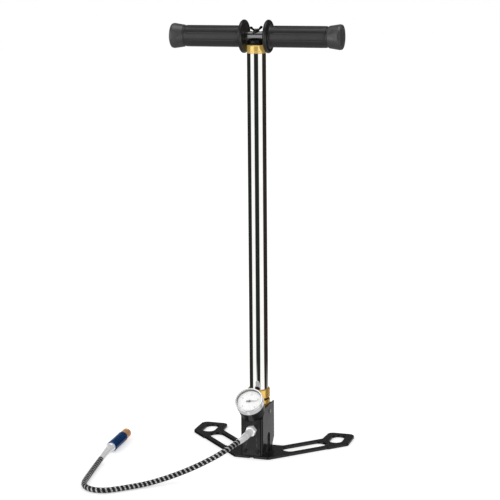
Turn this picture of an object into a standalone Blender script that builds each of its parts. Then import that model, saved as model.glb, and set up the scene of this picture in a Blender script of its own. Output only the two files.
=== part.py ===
"""Floor pump for very high pressure: a V-shaped foot plate, a valve housing with a gauge, a long
cylinder with a hollow piston tube in it, a T handle, and a steel-armoured hose with a coupler.

Metres, +Z up. The origin is on the floor, on the cylinder's axis. The handle lies along X, the
gauge and the hose face -Y, and the arms of the foot plate spread towards +Y.
"""

import math

import bmesh
import bpy
from mathutils import Matrix, Vector

# ---------------------------------------------------------------- driving dimensions

GAP = 0.0003                    # between pieces that touch
RUNNING = 0.0004                # radial room for a piece that slides in another
SIDES = 24                      # sides of a large round piece
FEW_SIDES = 14                  # sides of a small one

# foot plate
PLATE_THICKNESS = 0.004
PLATE_FRONT = -0.041            # Y of the short front edge
PLATE_FRONT_HALF = 0.0265       # half its length
ARM_WIDTH = 0.0392
ARM_STRIP = 0.0082              # each side of an arm's slot
SLOT_START = 0.026              # distance of the slot's near end from the origin, along the arm
SLOT_LENGTH = 0.073
RING_OUTER_X = 0.125            # the ring at the arm's end is a five-sided plate
RING_INNER_X = 0.081
RING_BACK_Y = 0.102
RING_OUTER_FRONT_Y = 0.0495
RING_STEP = 0.0015              # the ring stands this far in front of the arm's edge
RING_HOLE = (0.020, 0.038)      # width along X, length along Y
NOTCH_RADIUS = 0.0035

# valve housing, a folded sheet round the valve block
SHEET = 0.0015
BLOCK_WIDTH = 0.0304
BLOCK_FRONT = -0.0377
BLOCK_BACK = 0.0195
BLOCK_TOP = 0.072
HOUSING_RISE = 0.002            # the housing's walls end this far above the block
HOUSING_OVERHANG = 0.0025       # and this far behind it
HOUSING_CORNER = 0.004
SIDE_SLOT_WIDTH = 0.014
SIDE_SLOT_TOP = 0.032
SIDE_SLOT_Y = -0.0075
CHAMFER = 0.013

# cylinder, its base fitting and its gland
TUBE_DIAMETER = 0.028
TUBE_WALL = 0.0015
TUBE_LENGTH = 0.515
COLLAR_STEP = 0.0025            # the brass rings stand proud of the cylinder by this
TUBE_NUT_HEIGHT = 0.0135
ADAPTER_RING_HEIGHT = 0.0055
ADAPTER_NECK_HEIGHT = 0.0042
ADAPTER_THREAD_RADIUS = 0.0117
ADAPTER_THREAD_LENGTH = 0.014
ADAPTER_NECK_STEP = 0.0013      # the neck above the thread is wider than it by this
GROOVE_DEPTH = 0.001            # of the O-ring's groove, below the cylinder's outside
ADAPTER_SPIGOT = 0.014          # part of the adapter inside the cylinder
O_RING_SECTION = 0.0024
GROOVE_HEIGHT = 0.003           # between the adapter's ring and the cylinder
GLAND_CAP_HEIGHT = 0.0112
GLAND_SPIGOT = 0.012
BUSH_WALL = 0.0013
BUSH_HEIGHT = 0.0085

# piston tube, which slides, and the inner tube, which stands in it
PISTON_TUBE_RADIUS = 0.009
PISTON_TUBE_WALL = 0.0015
PISTON_CLEARANCE = 0.002        # above the adapter with the handle down
PISTON_HEIGHT = 0.016
PISTON_LIP = 0.0037
INNER_TUBE_RADIUS = 0.0055
INNER_TUBE_WALL = 0.0018
INNER_HEAD_HEIGHT = 0.016
INNER_HEAD_DROP = 0.008         # its top below the cylinder's
PLUG_CLEARANCE = 0.004          # above the inner head with the handle down
ROD_RADIUS = 0.0025
TIP_HEIGHT = 0.005
TIP_CLEARANCE = 0.008           # below the plunger's tip with the handle down
RING_SECTION = 0.0015

# handle
BAR_RADIUS = 0.0075
BAR_WALL = 0.0025
BAR_FLAT = (0.0075, 0.0015)     # spot face under the wing nut: radius, depth
BAR_HALF = 0.122
BUMPER_HEIGHT = 0.0018
HUB_RADIUS = 0.013
HUB_FLOOR = 0.0020              # hub material below the bar
HUB_SIDE = 0.0020               # the hub's cradle reaches this far up the bar
STUD_RADIUS = 0.003
GRIP_RADIUS = 0.0156
GRIP_END_RADIUS = 0.0183
GRIP_FLANGE_RADIUS = 0.024
GRIP_CLEARANCE = 0.0015         # from the cylinder's side to the flange's inner face
GRIP_FLANGE = 0.0058
GRIP_FLARE = 0.019              # length of the flared end
GRIP_CAP = 0.006                # closed end beyond the bar
WASHER = (0.006, 0.0007)        # radius, thickness
WING_HUB = (0.0046, 0.0030)     # radius, height
WING_SPAN = 0.012               # from the axis to a wing's tip
WING_RISE = 0.0072              # tip above the wing nut's underside
WING_THICKNESS = 0.0024
WING_TURN = math.radians(60)    # where the wings stand, from the bar's direction

# gauge
GAUGE_TILT = math.radians(50)   # its face looks this far above the horizontal
GAUGE_REACH = 0.0341            # its front's centre, in front of the brass rings
GAUGE_RISE = 0.0223             # and above the valve block
BEZEL_RADIUS = 0.020
BEZEL_DEPTH = 0.010
BEZEL_LIP = 0.0022
CASE_STEP = 0.0008              # the case is narrower than the bezel by this
CASE_DEPTH = 0.020
CASE_WALL = 0.0014
GLASS_SET_BACK = 0.0012
GLASS_THICKNESS = 0.0018
DIAL_SET_BACK = 0.0052
DIAL_THICKNESS = 0.0008
NEEDLE_LENGTH = 0.0135
NEEDLE_TAIL = 0.005
NEEDLE_WIDTH = 0.0018
NEEDLE_THICKNESS = 0.0005
NEEDLE_REST = math.radians(8)   # of the pointer at zero, from the dial's own right
SPINDLE_RADIUS = 0.0011
STEM_HEX = 0.014                # across flats
STEM_HEX_HEIGHT = 0.005
PORT_RADIUS = 0.0047            # thread of the gauge stem and of the hose fitting
PORT_DEPTH = 0.0095

# hose, its fittings and its coupler
HOSE_PORT_Z = 0.043
HOSE_HEX = 0.014                # across flats
HOSE_HEX_LENGTH = 0.0085
FERRULE_LENGTH = 0.025          # the rigid crimped ferrule at the pump's end
FERRULE_RADIUS = 0.0054
GUARD_LENGTH = 0.0215           # the flexible sleeve that bends with the hose
END_FERRULE_LENGTH = 0.016
END_GUARD_LENGTH = 0.034
GUARD_RADIUS = 0.0050           # at its ferrule
HOSE_DIAMETER = 0.008
FITTING_BORE = 0.0015
COUPLER_RADIUS = 0.008
COUPLER_LENGTH = 0.052
SLEEVE_RADIUS = 0.0072
SLEEVE_LENGTH = 0.017
SLEEVE_TRAVEL = 0.003
SPIGOT_RADIUS = 0.0042
COUPLER_TIP = Vector((-0.2163, 0.001, 0.0082))
COUPLER_DIRECTION = Vector((-0.047, 1.0, 0.0)).normalized()

# outlet valve and bleed screw, in the valve block
CHAMBER_RADIUS = 0.005
CHAMBER_DEPTH = 0.0223
SEAT_HEIGHT = 0.0042
BALL_RADIUS = 0.0027
SPRING_WIRE = 0.0005
SPRING_RADIUS = 0.0027
SPRING_TURNS = 4
BLEED_Z = 0.026
BLEED_RADIUS = 0.003
BLEED_DEPTH = 0.014
KNOB_RADIUS = 0.0078
KNOB_LENGTH = 0.010
KNOB_FLUTES = 12

# fasteners
SCREW_RADIUS = 0.002
SCREW_DEPTH = 0.007             # in the block
SCREW_HEAD = (0.0032, 0.0016)   # radius, height
SOCKET_RADIUS = 0.0014
FRONT_SCREW = (0.0098, 0.0108)  # X and Z
SIDE_SCREW_DROP = 0.0088        # below the block's top
PLATE_SCREW_RADIUS = 0.0024
PLATE_SCREW_HEAD = 0.0047
PLATE_SCREW_LENGTH = 0.014
PLATE_SCREW_X = 0.0092
PLATE_SCREW_YS = (-0.0265, 0.0105)

# the hose's route, from the pump's ferrule down to the floor, round, and back to the end ferrule
HOSE_ROUTE = (
    (-0.0009, -0.0835, 0.0426),
    (-0.0046, -0.0960, 0.0414),
    (-0.0130, -0.1165, 0.0370),
    (-0.0265, -0.1360, 0.0303),
    (-0.0420, -0.1510, 0.0235),
    (-0.0580, -0.1637, 0.0172),
    (-0.0740, -0.1755, 0.0120),
    (-0.0895, -0.1872, 0.0080),
    (-0.1045, -0.1993, 0.0053),
    (-0.1187, -0.2115, 0.0043),
    (-0.1310, -0.2225, 0.0042),
    (-0.1412, -0.2315, 0.0042),
    (-0.1525, -0.2390, 0.0042),
    (-0.1660, -0.2417, 0.0042),
    (-0.1790, -0.2380, 0.0042),
    (-0.1888, -0.2290, 0.0042),
    (-0.1944, -0.2165, 0.0042),
    (-0.1977, -0.2010, 0.0042),
    (-0.2012, -0.1800, 0.0042),
    (-0.2050, -0.1560, 0.0043),
    (-0.2080, -0.1330, 0.0052),
    (-0.2100, -0.1120, 0.0068),
    (-0.2110, -0.1000, 0.0078),
)

# ---------------------------------------------------------------- sizes that follow

TUBE_RADIUS = TUBE_DIAMETER / 2
BORE_RADIUS = TUBE_RADIUS - TUBE_WALL
COLLAR_RADIUS = TUBE_RADIUS + COLLAR_STEP
BLOCK_HALF = BLOCK_WIDTH / 2
BLOCK_BOTTOM = PLATE_THICKNESS + GAP
HOUSING_HALF = BLOCK_HALF + GAP + SHEET
HOUSING_FRONT = BLOCK_FRONT - GAP - SHEET
HOUSING_BACK = BLOCK_BACK + HOUSING_OVERHANG
HOUSING_TOP = BLOCK_TOP + HOUSING_RISE
SIDE_SCREW_Z = BLOCK_TOP - SIDE_SCREW_DROP
ADAPTER_BOTTOM = BLOCK_TOP + GAP - ADAPTER_THREAD_LENGTH
ADAPTER_RING_BOTTOM = BLOCK_TOP + GAP + ADAPTER_NECK_HEIGHT
ADAPTER_RING_TOP = ADAPTER_RING_BOTTOM + ADAPTER_RING_HEIGHT
CHAMBER_FLOOR = ADAPTER_BOTTOM - CHAMBER_DEPTH
TUBE_BOTTOM = ADAPTER_RING_TOP + GROOVE_HEIGHT
TUBE_TOP = TUBE_BOTTOM + TUBE_LENGTH
GLAND_TOP = TUBE_TOP + GAP + GLAND_CAP_HEIGHT
BUMPER_BOTTOM = GLAND_TOP + GAP
HUB_BOTTOM = BUMPER_BOTTOM + BUMPER_HEIGHT + GAP
BAR_Z = HUB_BOTTOM + HUB_FLOOR + GAP + BAR_RADIUS
BAR_TOP = BAR_Z + BAR_RADIUS
WASHER_BOTTOM = BAR_TOP - BAR_FLAT[1] + GAP
WING_BOTTOM = WASHER_BOTTOM + WASHER[1] + GAP
GRIP_INNER = TUBE_RADIUS + GRIP_CLEARANCE
PISTON_RADIUS = BORE_RADIUS - RUNNING
PISTON_TUBE_BORE = PISTON_TUBE_RADIUS - PISTON_TUBE_WALL
PISTON_FLOOR = TUBE_BOTTOM + ADAPTER_SPIGOT + PISTON_CLEARANCE
PISTON_TUBE_BOTTOM = PISTON_FLOOR + PISTON_LIP + GAP
PISTON_TUBE_TOP = HUB_BOTTOM - GAP
INNER_HEAD_RADIUS = PISTON_TUBE_BORE - RUNNING
INNER_TUBE_BORE = INNER_TUBE_RADIUS - INNER_TUBE_WALL
INNER_HEAD_TOP = TUBE_TOP - INNER_HEAD_DROP
INNER_TUBE_TOP = INNER_HEAD_TOP - 0.5 * INNER_HEAD_HEIGHT
PLUG_BOTTOM = INNER_HEAD_TOP + PLUG_CLEARANCE
INNER_SEAT = ADAPTER_BOTTOM + 0.6 * ADAPTER_THREAD_LENGTH
ROD_BOTTOM = INNER_SEAT + 2 * GAP + TIP_HEIGHT + TIP_CLEARANCE
GAUGE_FRONT = (0.0, -COLLAR_RADIUS - GAUGE_REACH, BLOCK_TOP + GAUGE_RISE)
GAUGE_IN = Vector((0, math.cos(GAUGE_TILT), -math.sin(GAUGE_TILT)))
CASE_RADIUS = BEZEL_RADIUS - CASE_STEP
CASE_BACK = BEZEL_DEPTH + GAP + CASE_DEPTH
SEAT_DEPTH = CASE_BACK + GAP + STEM_HEX_HEIGHT + GAP
FITTING_FRONT = BLOCK_FRONT - GAP - HOSE_HEX_LENGTH
FERRULE_END = FITTING_FRONT - GAP - FERRULE_LENGTH
SLEEVE_ROOM = SLEEVE_LENGTH + SLEEVE_TRAVEL + GAP
COUPLER_TOTAL = COUPLER_LENGTH + SLEEVE_ROOM
END_FERRULE_START = COUPLER_TIP - COUPLER_DIRECTION * (COUPLER_TOTAL + GAP + END_FERRULE_LENGTH)
KNOB_FRONT = HOUSING_BACK + GAP
SEAT_BOTTOM = ADAPTER_BOTTOM - GAP - SEAT_HEIGHT
DOWN_ARM = Vector((1, 1)) / math.sqrt(2)
SQUARE_TO_ARM = Vector((1, -1)) / math.sqrt(2)
ARM_FRONT_OFFSET = (PLATE_FRONT_HALF - PLATE_FRONT) / math.sqrt(2)

# ---------------------------------------------------------------- scene, materials, helpers


def clear_scene():
    for obj in list(bpy.data.objects):
        bpy.data.objects.remove(obj, do_unlink=True)


def new_collection(name):
    collection = bpy.data.collections.new(name)
    bpy.context.scene.collection.children.link(collection)
    return collection


def principled(name, color, roughness, metallic=0.0):
    material = bpy.data.materials.new(name)
    material.use_nodes = True
    shader = material.node_tree.nodes["Principled BSDF"]
    shader.inputs["Base Color"].default_value = (*color, 1.0)
    shader.inputs["Roughness"].default_value = roughness
    shader.inputs["Metallic"].default_value = metallic
    return material


def place(obj, origin=(0, 0, 0), direction=(0, 0, 1)):
    """Puts the object's local Z along direction, with its local origin at origin."""
    obj.location = origin
    obj.rotation_euler = Vector(direction).to_track_quat("Z", "Y").to_euler()
    return obj


def add(obj, material=None):
    """Links a finished object as a part, or as a cutter if it has no material."""
    if material is None:
        CUTTERS.objects.link(obj)
        obj.hide_render = True
        obj.display_type = "WIRE"
    else:
        PUMP.objects.link(obj)
        obj.data.materials.append(material)
    return obj


def mesh_object(name, build, material=None):
    mesh = bpy.data.meshes.new(name)
    edit = bmesh.new()
    build(edit)
    edit.to_mesh(mesh)
    edit.free()
    return add(bpy.data.objects.new(name, mesh), material)


def turned(name, profile, material=None, hollow=False, sides=SIDES, origin=(0, 0, 0), direction=(0, 0, 1)):
    """A turned piece. The profile is (radius, height) points that run down its outer side; a hollow
    piece's profile then climbs back up its bore."""

    def build(edit):
        points = [edit.verts.new((radius, 0, height)) for radius, height in profile]
        for a, b in zip(points, points[1:]):
            edit.edges.new((a, b))
        if hollow:
            edit.edges.new((points[-1], points[0]))

    obj = mesh_object(name, build, material)
    screw = obj.modifiers.new("Turn", "SCREW")
    screw.steps = screw.render_steps = sides
    screw.use_merge_vertices = True
    screw.merge_threshold = 0.00001
    screw.use_smooth_shade = False
    return place(obj, origin, direction)


def ring(name, inner, outer, bottom, top, material, bevel=0.0, sides=SIDES, **where):
    """A plain ring or tube, with its outer edges broken by a small bevel."""
    profile = [
        (inner, top),
        (outer - bevel, top),
        (outer, top - bevel),
        (outer, bottom + bevel),
        (outer - bevel, bottom),
        (inner, bottom),
    ]
    return turned(name, distinct(profile), material, hollow=True, sides=sides, **where)


def distinct(points):
    """The points without any that repeats the one before it."""
    kept = points[:1]
    for point in points[1:]:
        if (Vector(point) - Vector(kept[-1])).length > 1e-6:
            kept.append(point)
    return kept


def rod(name, radius, bottom, top, material=None, sides=FEW_SIDES, **where):
    profile = [(0, top), (radius, top), (radius, bottom), (0, bottom)]
    return turned(name, profile, material, sides=sides, **where)


def o_ring(name, radius, section, height, material, sides=SIDES, around=6):
    """A rubber ring of a round section."""
    profile = []
    for i in range(around):
        angle = math.pi / 2 - 2 * math.pi * i / around
        profile.append((radius + section / 2 * math.cos(angle), height + section / 2 * math.sin(angle)))
    return turned(name, profile, material, hollow=True, sides=sides)


def rounded(corners, steps=5):
    """A closed outline through corners given as (x, y, radius), each with an arc of that radius."""
    outline = []
    count = len(corners)
    for i, (x, y, radius) in enumerate(corners):
        here = Vector((x, y))
        before = (Vector(corners[i - 1][:2]) - here).normalized()
        after = (Vector(corners[(i + 1) % count][:2]) - here).normalized()
        if radius == 0:
            outline.append(tuple(here))
            continue
        half = before.angle(after) / 2
        centre = here + (before + after).normalized() * (radius / math.sin(half))
        start = here + before * (radius / math.tan(half)) - centre
        end = here + after * (radius / math.tan(half)) - centre
        sweep = start.angle_signed(end)
        for k in range(steps + 1):
            turn = Matrix.Rotation(-sweep * k / steps, 2)
            outline.append(tuple(centre + turn @ start))
    return outline


def circle(x, y, radius, sides=FEW_SIDES):
    angles = [2 * math.pi * (i + 0.5) / sides for i in range(sides)]
    return [(x + radius * math.cos(a), y + radius * math.sin(a)) for a in angles]


def evaluated_copy(source, name):
    """Turns a curve object into a mesh object with welded caps, and removes the curve."""
    graph = bpy.context.evaluated_depsgraph_get()
    bpy.context.view_layer.update()
    mesh = bpy.data.meshes.new_from_object(source.evaluated_get(graph))
    edit = bmesh.new()
    edit.from_mesh(mesh)
    bmesh.ops.remove_doubles(edit, verts=edit.verts, dist=0.000002)
    bmesh.ops.recalc_face_normals(edit, faces=edit.faces)
    edit.to_mesh(mesh)
    edit.free()
    mesh.name = name
    bpy.data.objects.remove(source, do_unlink=True)
    return bpy.data.objects.new(name, mesh)


def plate(name, outlines, thickness, material=None):
    """A flat piece. The first outline is its edge, and the others are holes in it."""
    curve = bpy.data.curves.new(name, "CURVE")
    curve.dimensions = "2D"
    curve.fill_mode = "BOTH"
    curve.extrude = thickness / 2
    for outline in outlines:
        spline = curve.splines.new("POLY")
        spline.points.add(len(outline) - 1)
        for point, (x, y) in zip(spline.points, outline):
            point.co = (x, y, 0, 1)
        spline.use_cyclic_u = True
    source = bpy.data.objects.new(name + "_curve", curve)
    bpy.context.scene.collection.objects.link(source)
    return add(evaluated_copy(source, name), material)


def wire(name, points, radius, material, resolution=2, cyclic=False):
    """A round bar or tube along a line of points."""
    curve = bpy.data.curves.new(name, "CURVE")
    curve.dimensions = "3D"
    curve.bevel_depth = radius
    curve.bevel_resolution = resolution
    curve.use_fill_caps = True
    spline = curve.splines.new("POLY")
    spline.points.add(len(points) - 1)
    for point, place_at in zip(spline.points, points):
        point.co = (*place_at, 1)
    spline.use_cyclic_u = cyclic
    return add(bpy.data.objects.new(name, curve), material)


def box(name, low, high, material=None):
    def build(edit):
        centre = (Vector(low) + Vector(high)) / 2
        size = Vector(high) - Vector(low)
        bmesh.ops.create_cube(edit, size=1, matrix=Matrix.Translation(centre) @ Matrix.Diagonal((*size, 1)))

    return mesh_object(name, build, material)


def boolean(target, tool, operation):
    modifier = target.modifiers.new(operation.title(), "BOOLEAN")
    modifier.operation = operation
    modifier.object = tool
    return target


def cut(target, *cutters):
    for cutter in cutters:
        boolean(target, cutter, "DIFFERENCE")
    return target


def along_x(obj):
    """Turns a plate so that its outline lies in the YZ plane, with its thickness along X."""
    obj.rotation_euler = (math.pi / 2, 0, math.pi / 2)
    return obj


def along_y(obj):
    """Turns a plate so that its outline lies in the XZ plane, with its thickness along Y."""
    obj.rotation_euler = (math.pi / 2, 0, 0)
    return obj


def hexagon(flats):
    radius = flats / 2 / math.cos(math.pi / 6)
    return [(radius * math.cos(math.pi / 3 * i), radius * math.sin(math.pi / 3 * i)) for i in range(6)]


def smooth_line(route):
    """Close points on a smooth curve (Catmull-Rom) through the route's points."""
    knots = [Vector(p) for p in route]
    knots = [2 * knots[0] - knots[1], *knots, 2 * knots[-1] - knots[-2]]
    line = []
    for a, b, c, d in zip(knots, knots[1:], knots[2:], knots[3:]):
        for k in range(20):
            t = k / 20
            curve = 2 * b + (c - a) * t + (2 * a - 5 * b + 4 * c - d) * t**2 + (3 * b - a - 3 * c + d) * t**3
            line.append(curve / 2)
    return [*line, knots[-2]]


def distances(line):
    """How far along a line each of its points is."""
    travelled = [0.0]
    for a, b in zip(line, line[1:]):
        travelled.append(travelled[-1] + (b - a).length)
    return travelled


def part_of(line, start, end, spacing):
    """Evenly spaced points on a line, between two distances along it."""
    travelled = distances(line)
    count = round((end - start) / spacing)
    points, k = [], 0
    for i in range(count + 1):
        want = start + (end - start) * i / count
        while travelled[k + 1] < want and k < len(line) - 2:
            k += 1
        share = (want - travelled[k]) / (travelled[k + 1] - travelled[k])
        points.append(line[k].lerp(line[k + 1], share))
    return points


# ---------------------------------------------------------------- foot plate and housing


def mirrored(outline):
    return [(-x, y) for x, y in reversed(outline)]


def arm_slot():
    """The long slot of the right arm, with round ends."""
    half = ARM_WIDTH / 2 - ARM_STRIP
    middle = SQUARE_TO_ARM * (ARM_FRONT_OFFSET - ARM_WIDTH / 2)
    corners = []
    for along, across in ((0, half), (SLOT_LENGTH, half), (SLOT_LENGTH, -half), (0, -half)):
        point = DOWN_ARM * (SLOT_START + along) + SQUARE_TO_ARM * across + middle
        corners.append((point.x, point.y, half * 0.98))
    return rounded(corners, 6)


def ring_hole():
    half_width, half_length = RING_HOLE[0] / 2, RING_HOLE[1] / 2
    x = (RING_INNER_X + RING_OUTER_X) / 2
    y = (RING_BACK_Y + RING_OUTER_FRONT_Y) / 2 - 0.0025
    corners = [
        (x - half_width, y - half_length, half_width * 0.98),
        (x + half_width, y - half_length, half_width * 0.98),
        (x + half_width, y + half_length, half_width * 0.98),
        (x - half_width, y + half_length, half_width * 0.98),
    ]
    return rounded(corners, 6)


def foot_plate():
    """A V of flat steel: two slotted arms at 45 degrees, each ending in a ring for the foot."""
    front = PLATE_FRONT_HALF - PLATE_FRONT          # x - y along the arm's front edge
    back = front - ARM_WIDTH * math.sqrt(2)          # x - y along its back edge
    step = RING_STEP * math.sqrt(2)
    corner_y = RING_OUTER_X - front - step
    step_x = (RING_OUTER_X + RING_INNER_X) / 2 - 0.003
    right = [
        (PLATE_FRONT_HALF, PLATE_FRONT, 0.006),
        (step_x - 0.0015, step_x - 0.0015 - front, 0.001),
        (step_x + 0.0005, step_x + 0.0005 - front - step, 0.001),
        (RING_OUTER_X, corner_y, 0.005),
        (RING_OUTER_X, RING_BACK_Y, 0.005),
        (RING_INNER_X + 0.002, RING_BACK_Y, 0.006),
        (RING_INNER_X, RING_INNER_X - back, 0.0015),
        (back + 0.0195, 0.0195, 0.008),
    ]
    left = [(-x, y, radius) for x, y, radius in reversed(right)]
    steps = 4
    turns = [math.pi * (1 - i / 8) for i in range(9)]
    notch = [(NOTCH_RADIUS * math.cos(a), PLATE_FRONT + NOTCH_RADIUS * math.sin(a)) for a in turns]
    outline = rounded(left + right, steps)
    outline = outline[: len(left) * (steps + 1)] + notch + outline[len(left) * (steps + 1):]
    holes = [arm_slot(), mirrored(arm_slot()), ring_hole(), mirrored(ring_hole())]
    obj = plate("foot_plate", [outline, *holes], PLATE_THICKNESS, BLACK_STEEL)
    obj.location.z = PLATE_THICKNESS / 2
    for x, y in plate_screw_places():
        profile = [
            (0, PLATE_THICKNESS * 2),
            (PLATE_SCREW_RADIUS + GAP, PLATE_THICKNESS * 2),
            (PLATE_SCREW_RADIUS + GAP, head_depth() + GAP),
            (PLATE_SCREW_HEAD + GAP, GAP),
            (PLATE_SCREW_HEAD + GAP, -PLATE_THICKNESS),
            (0, -PLATE_THICKNESS),
        ]
        cut(obj, turned("plate_screw_hole", profile, sides=FEW_SIDES, origin=(x, y, 0)))
    return obj


def plate_screw_places():
    return [(side * PLATE_SCREW_X, y) for side in (-1, 1) for y in PLATE_SCREW_YS]


def head_depth():
    """Height of a countersunk head with sides at 45 degrees."""
    return PLATE_SCREW_HEAD - PLATE_SCREW_RADIUS


def plate_screws():
    for number, (x, y) in enumerate(plate_screw_places(), 1):
        top = PLATE_THICKNESS + PLATE_SCREW_LENGTH
        profile = [
            (0, top),
            (PLATE_SCREW_RADIUS, top),
            (PLATE_SCREW_RADIUS, head_depth() + GAP),
            (PLATE_SCREW_HEAD, GAP),
            (SOCKET_RADIUS, GAP),
            (SOCKET_RADIUS, head_depth()),
            (0, head_depth()),
        ]
        turned(f"plate_screw_{number}", profile, DARK_STEEL, sides=FEW_SIDES, origin=(x, y, 0))


def housing_path():
    """The outside of the folded sheet in plan, from its left back edge round the front to its right."""
    corners = []
    for side in (-1, 1):
        centre = Vector((side * (HOUSING_HALF - HOUSING_CORNER), HOUSING_FRONT + HOUSING_CORNER))
        first = math.pi if side < 0 else 1.5 * math.pi
        for i in range(6):
            angle = first + math.pi / 2 * i / 5
            corners.append(centre + HOUSING_CORNER * Vector((math.cos(angle), math.sin(angle))))
    return [Vector((-HOUSING_HALF, HOUSING_BACK)), *corners, Vector((HOUSING_HALF, HOUSING_BACK))]


def gauge_point(depth, up=0.0):
    """A point in the X = 0 plane, at a depth behind the gauge's front and a height up its face."""
    face_up = Vector((0, math.sin(GAUGE_TILT), math.cos(GAUGE_TILT)))
    return Vector(GAUGE_FRONT) + GAUGE_IN * depth + face_up * up


def slope_cutter(depth):
    """Everything in front of a plane that lies at a depth behind the gauge's front."""
    reach = 0.09
    centre = gauge_point(depth - reach / 2)
    cutter = box("gauge_slope", (-reach, -reach, -reach / 2), (reach, reach, reach / 2))
    return place(cutter, centre, -GAUGE_IN)


def side_slot_cutter():
    half = SIDE_SLOT_WIDTH / 2
    arch = [
        (SIDE_SLOT_Y + half * math.cos(a), SIDE_SLOT_TOP - half + half * math.sin(a))
        for a in [math.pi * i / 10 for i in range(11)]
    ]
    outline = [(SIDE_SLOT_Y - half, -0.01), (SIDE_SLOT_Y + half, -0.01), *arch]
    return along_x(plate("side_slot", [outline], 4 * HOUSING_HALF))


def chamfer_cutter():
    corner_y, corner_z = HOUSING_BACK, BLOCK_BOTTOM
    more = 0.004
    outline = [
        (corner_y - CHAMFER - more, corner_z - more),
        (corner_y + more, corner_z - more),
        (corner_y + more, corner_z + CHAMFER + more),
    ]
    return along_x(plate("back_chamfer", [outline], 4 * HOUSING_HALF))


def housing():
    def build(edit):
        lower = [edit.verts.new((p.x, p.y, BLOCK_BOTTOM)) for p in housing_path()]
        upper = [edit.verts.new((p.x, p.y, HOUSING_TOP)) for p in housing_path()]
        for i in range(len(lower) - 1):
            edit.faces.new((lower[i], lower[i + 1], upper[i + 1], upper[i]))

    obj = mesh_object("housing", build, BLACK_STEEL)
    solidify = obj.modifiers.new("Sheet", "SOLIDIFY")
    solidify.thickness = SHEET
    solidify.use_even_offset = True
    reach = 4 * SHEET
    front_hole = HOSE_HEX / 2 / math.cos(math.pi / 6) + 2 * GAP
    cut(obj, slope_cutter(CASE_BACK + GAP + 0.4 * STEM_HEX_HEIGHT), side_slot_cutter(), chamfer_cutter())
    cut(obj, rod("hose_hole", front_hole, -reach, reach, origin=(0, HOUSING_FRONT, HOSE_PORT_Z),
                 direction=(0, 1, 0)))
    for side in (-1, 1):
        place_at = (side * FRONT_SCREW[0], HOUSING_FRONT, FRONT_SCREW[1])
        cut(obj, rod("front_screw_hole", SCREW_RADIUS + GAP, -reach, reach, origin=place_at,
                     direction=(0, 1, 0)))
    cut(obj, rod("side_screw_hole", SCREW_RADIUS + GAP, -2 * HOUSING_HALF, 2 * HOUSING_HALF,
                 origin=(0, 0, SIDE_SCREW_Z), direction=(1, 0, 0)))
    return obj


def valve_block():
    """The machined block in the housing, with its ports and the passages between them."""
    corner = HOUSING_CORNER - SHEET
    outline = rounded([
        (-BLOCK_HALF, BLOCK_FRONT, corner),
        (BLOCK_HALF, BLOCK_FRONT, corner),
        (BLOCK_HALF, BLOCK_BACK, 0.0005),
        (-BLOCK_HALF, BLOCK_BACK, 0.0005),
    ])
    obj = plate("valve_block", [outline], BLOCK_TOP - BLOCK_BOTTOM, BLACK_ALLOY)
    obj.location.z = (BLOCK_TOP + BLOCK_BOTTOM) / 2
    cut(obj, slope_cutter(SEAT_DEPTH))
    thread = ADAPTER_THREAD_RADIUS + GAP
    cut(obj, turned("adapter_bore", [
        (0, BLOCK_TOP * 2),
        (thread, BLOCK_TOP * 2),
        (thread, ADAPTER_BOTTOM - GAP),
        (CHAMBER_RADIUS, ADAPTER_BOTTOM - GAP),
        (CHAMBER_RADIUS, CHAMBER_FLOOR),
        (FITTING_BORE, CHAMBER_FLOOR),
        (FITTING_BORE, BLEED_Z),
        (0, BLEED_Z),
    ]))
    cut(obj, turned("hose_port", [
        (0, BLOCK_WIDTH),
        (PORT_RADIUS + GAP, BLOCK_WIDTH),
        (PORT_RADIUS + GAP, -PORT_DEPTH - GAP),
        (FITTING_BORE, -PORT_DEPTH - GAP),
        (FITTING_BORE, BLOCK_FRONT),
        (0, BLOCK_FRONT),
    ], sides=FEW_SIDES, origin=(0, BLOCK_FRONT, HOSE_PORT_Z), direction=(0, -1, 0)))
    slope_start = gauge_point(SEAT_DEPTH)
    gauge_passage = (slope_start.z - CHAMBER_FLOOR) / math.sin(GAUGE_TILT) - 2 * CHAMBER_RADIUS
    cut(obj, turned("gauge_port", [
        (0, BLOCK_WIDTH),
        (PORT_RADIUS + GAP, BLOCK_WIDTH),
        (PORT_RADIUS + GAP, -PORT_DEPTH - GAP),
        (FITTING_BORE * 0.9, -PORT_DEPTH - GAP),
        (FITTING_BORE * 0.9, -gauge_passage - CHAMBER_RADIUS),
        (0, -gauge_passage - CHAMBER_RADIUS),
    ], sides=FEW_SIDES, origin=slope_start, direction=-GAUGE_IN))
    cut(obj, turned("bleed_port", [
        (0, BLOCK_WIDTH),
        (BLEED_RADIUS + GAP, BLOCK_WIDTH),
        (BLEED_RADIUS + GAP, -BLEED_DEPTH - GAP),
        (FITTING_BORE * 0.8, -BLEED_DEPTH - GAP),
        (FITTING_BORE * 0.8, -BLOCK_BACK),
        (0, -BLOCK_BACK),
    ], sides=FEW_SIDES, origin=(0, BLOCK_BACK, BLEED_Z), direction=(0, 1, 0)))
    hole = SCREW_RADIUS + GAP
    deep = SCREW_DEPTH + 2 * GAP
    for side in (-1, 1):
        place_at = (side * FRONT_SCREW[0], BLOCK_FRONT, FRONT_SCREW[1])
        cut(obj, rod("front_thread", hole, -deep, deep, origin=place_at, direction=(0, 1, 0)))
        start = (side * BLOCK_HALF, 0, SIDE_SCREW_Z)
        cut(obj, rod("side_thread", hole, -deep, deep, origin=start, direction=(1, 0, 0)))
    for x, y in plate_screw_places():
        top = PLATE_THICKNESS + PLATE_SCREW_LENGTH + GAP
        cut(obj, rod("plate_thread", PLATE_SCREW_RADIUS + GAP, -top, top, origin=(x, y, 0)))
    return obj


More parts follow.
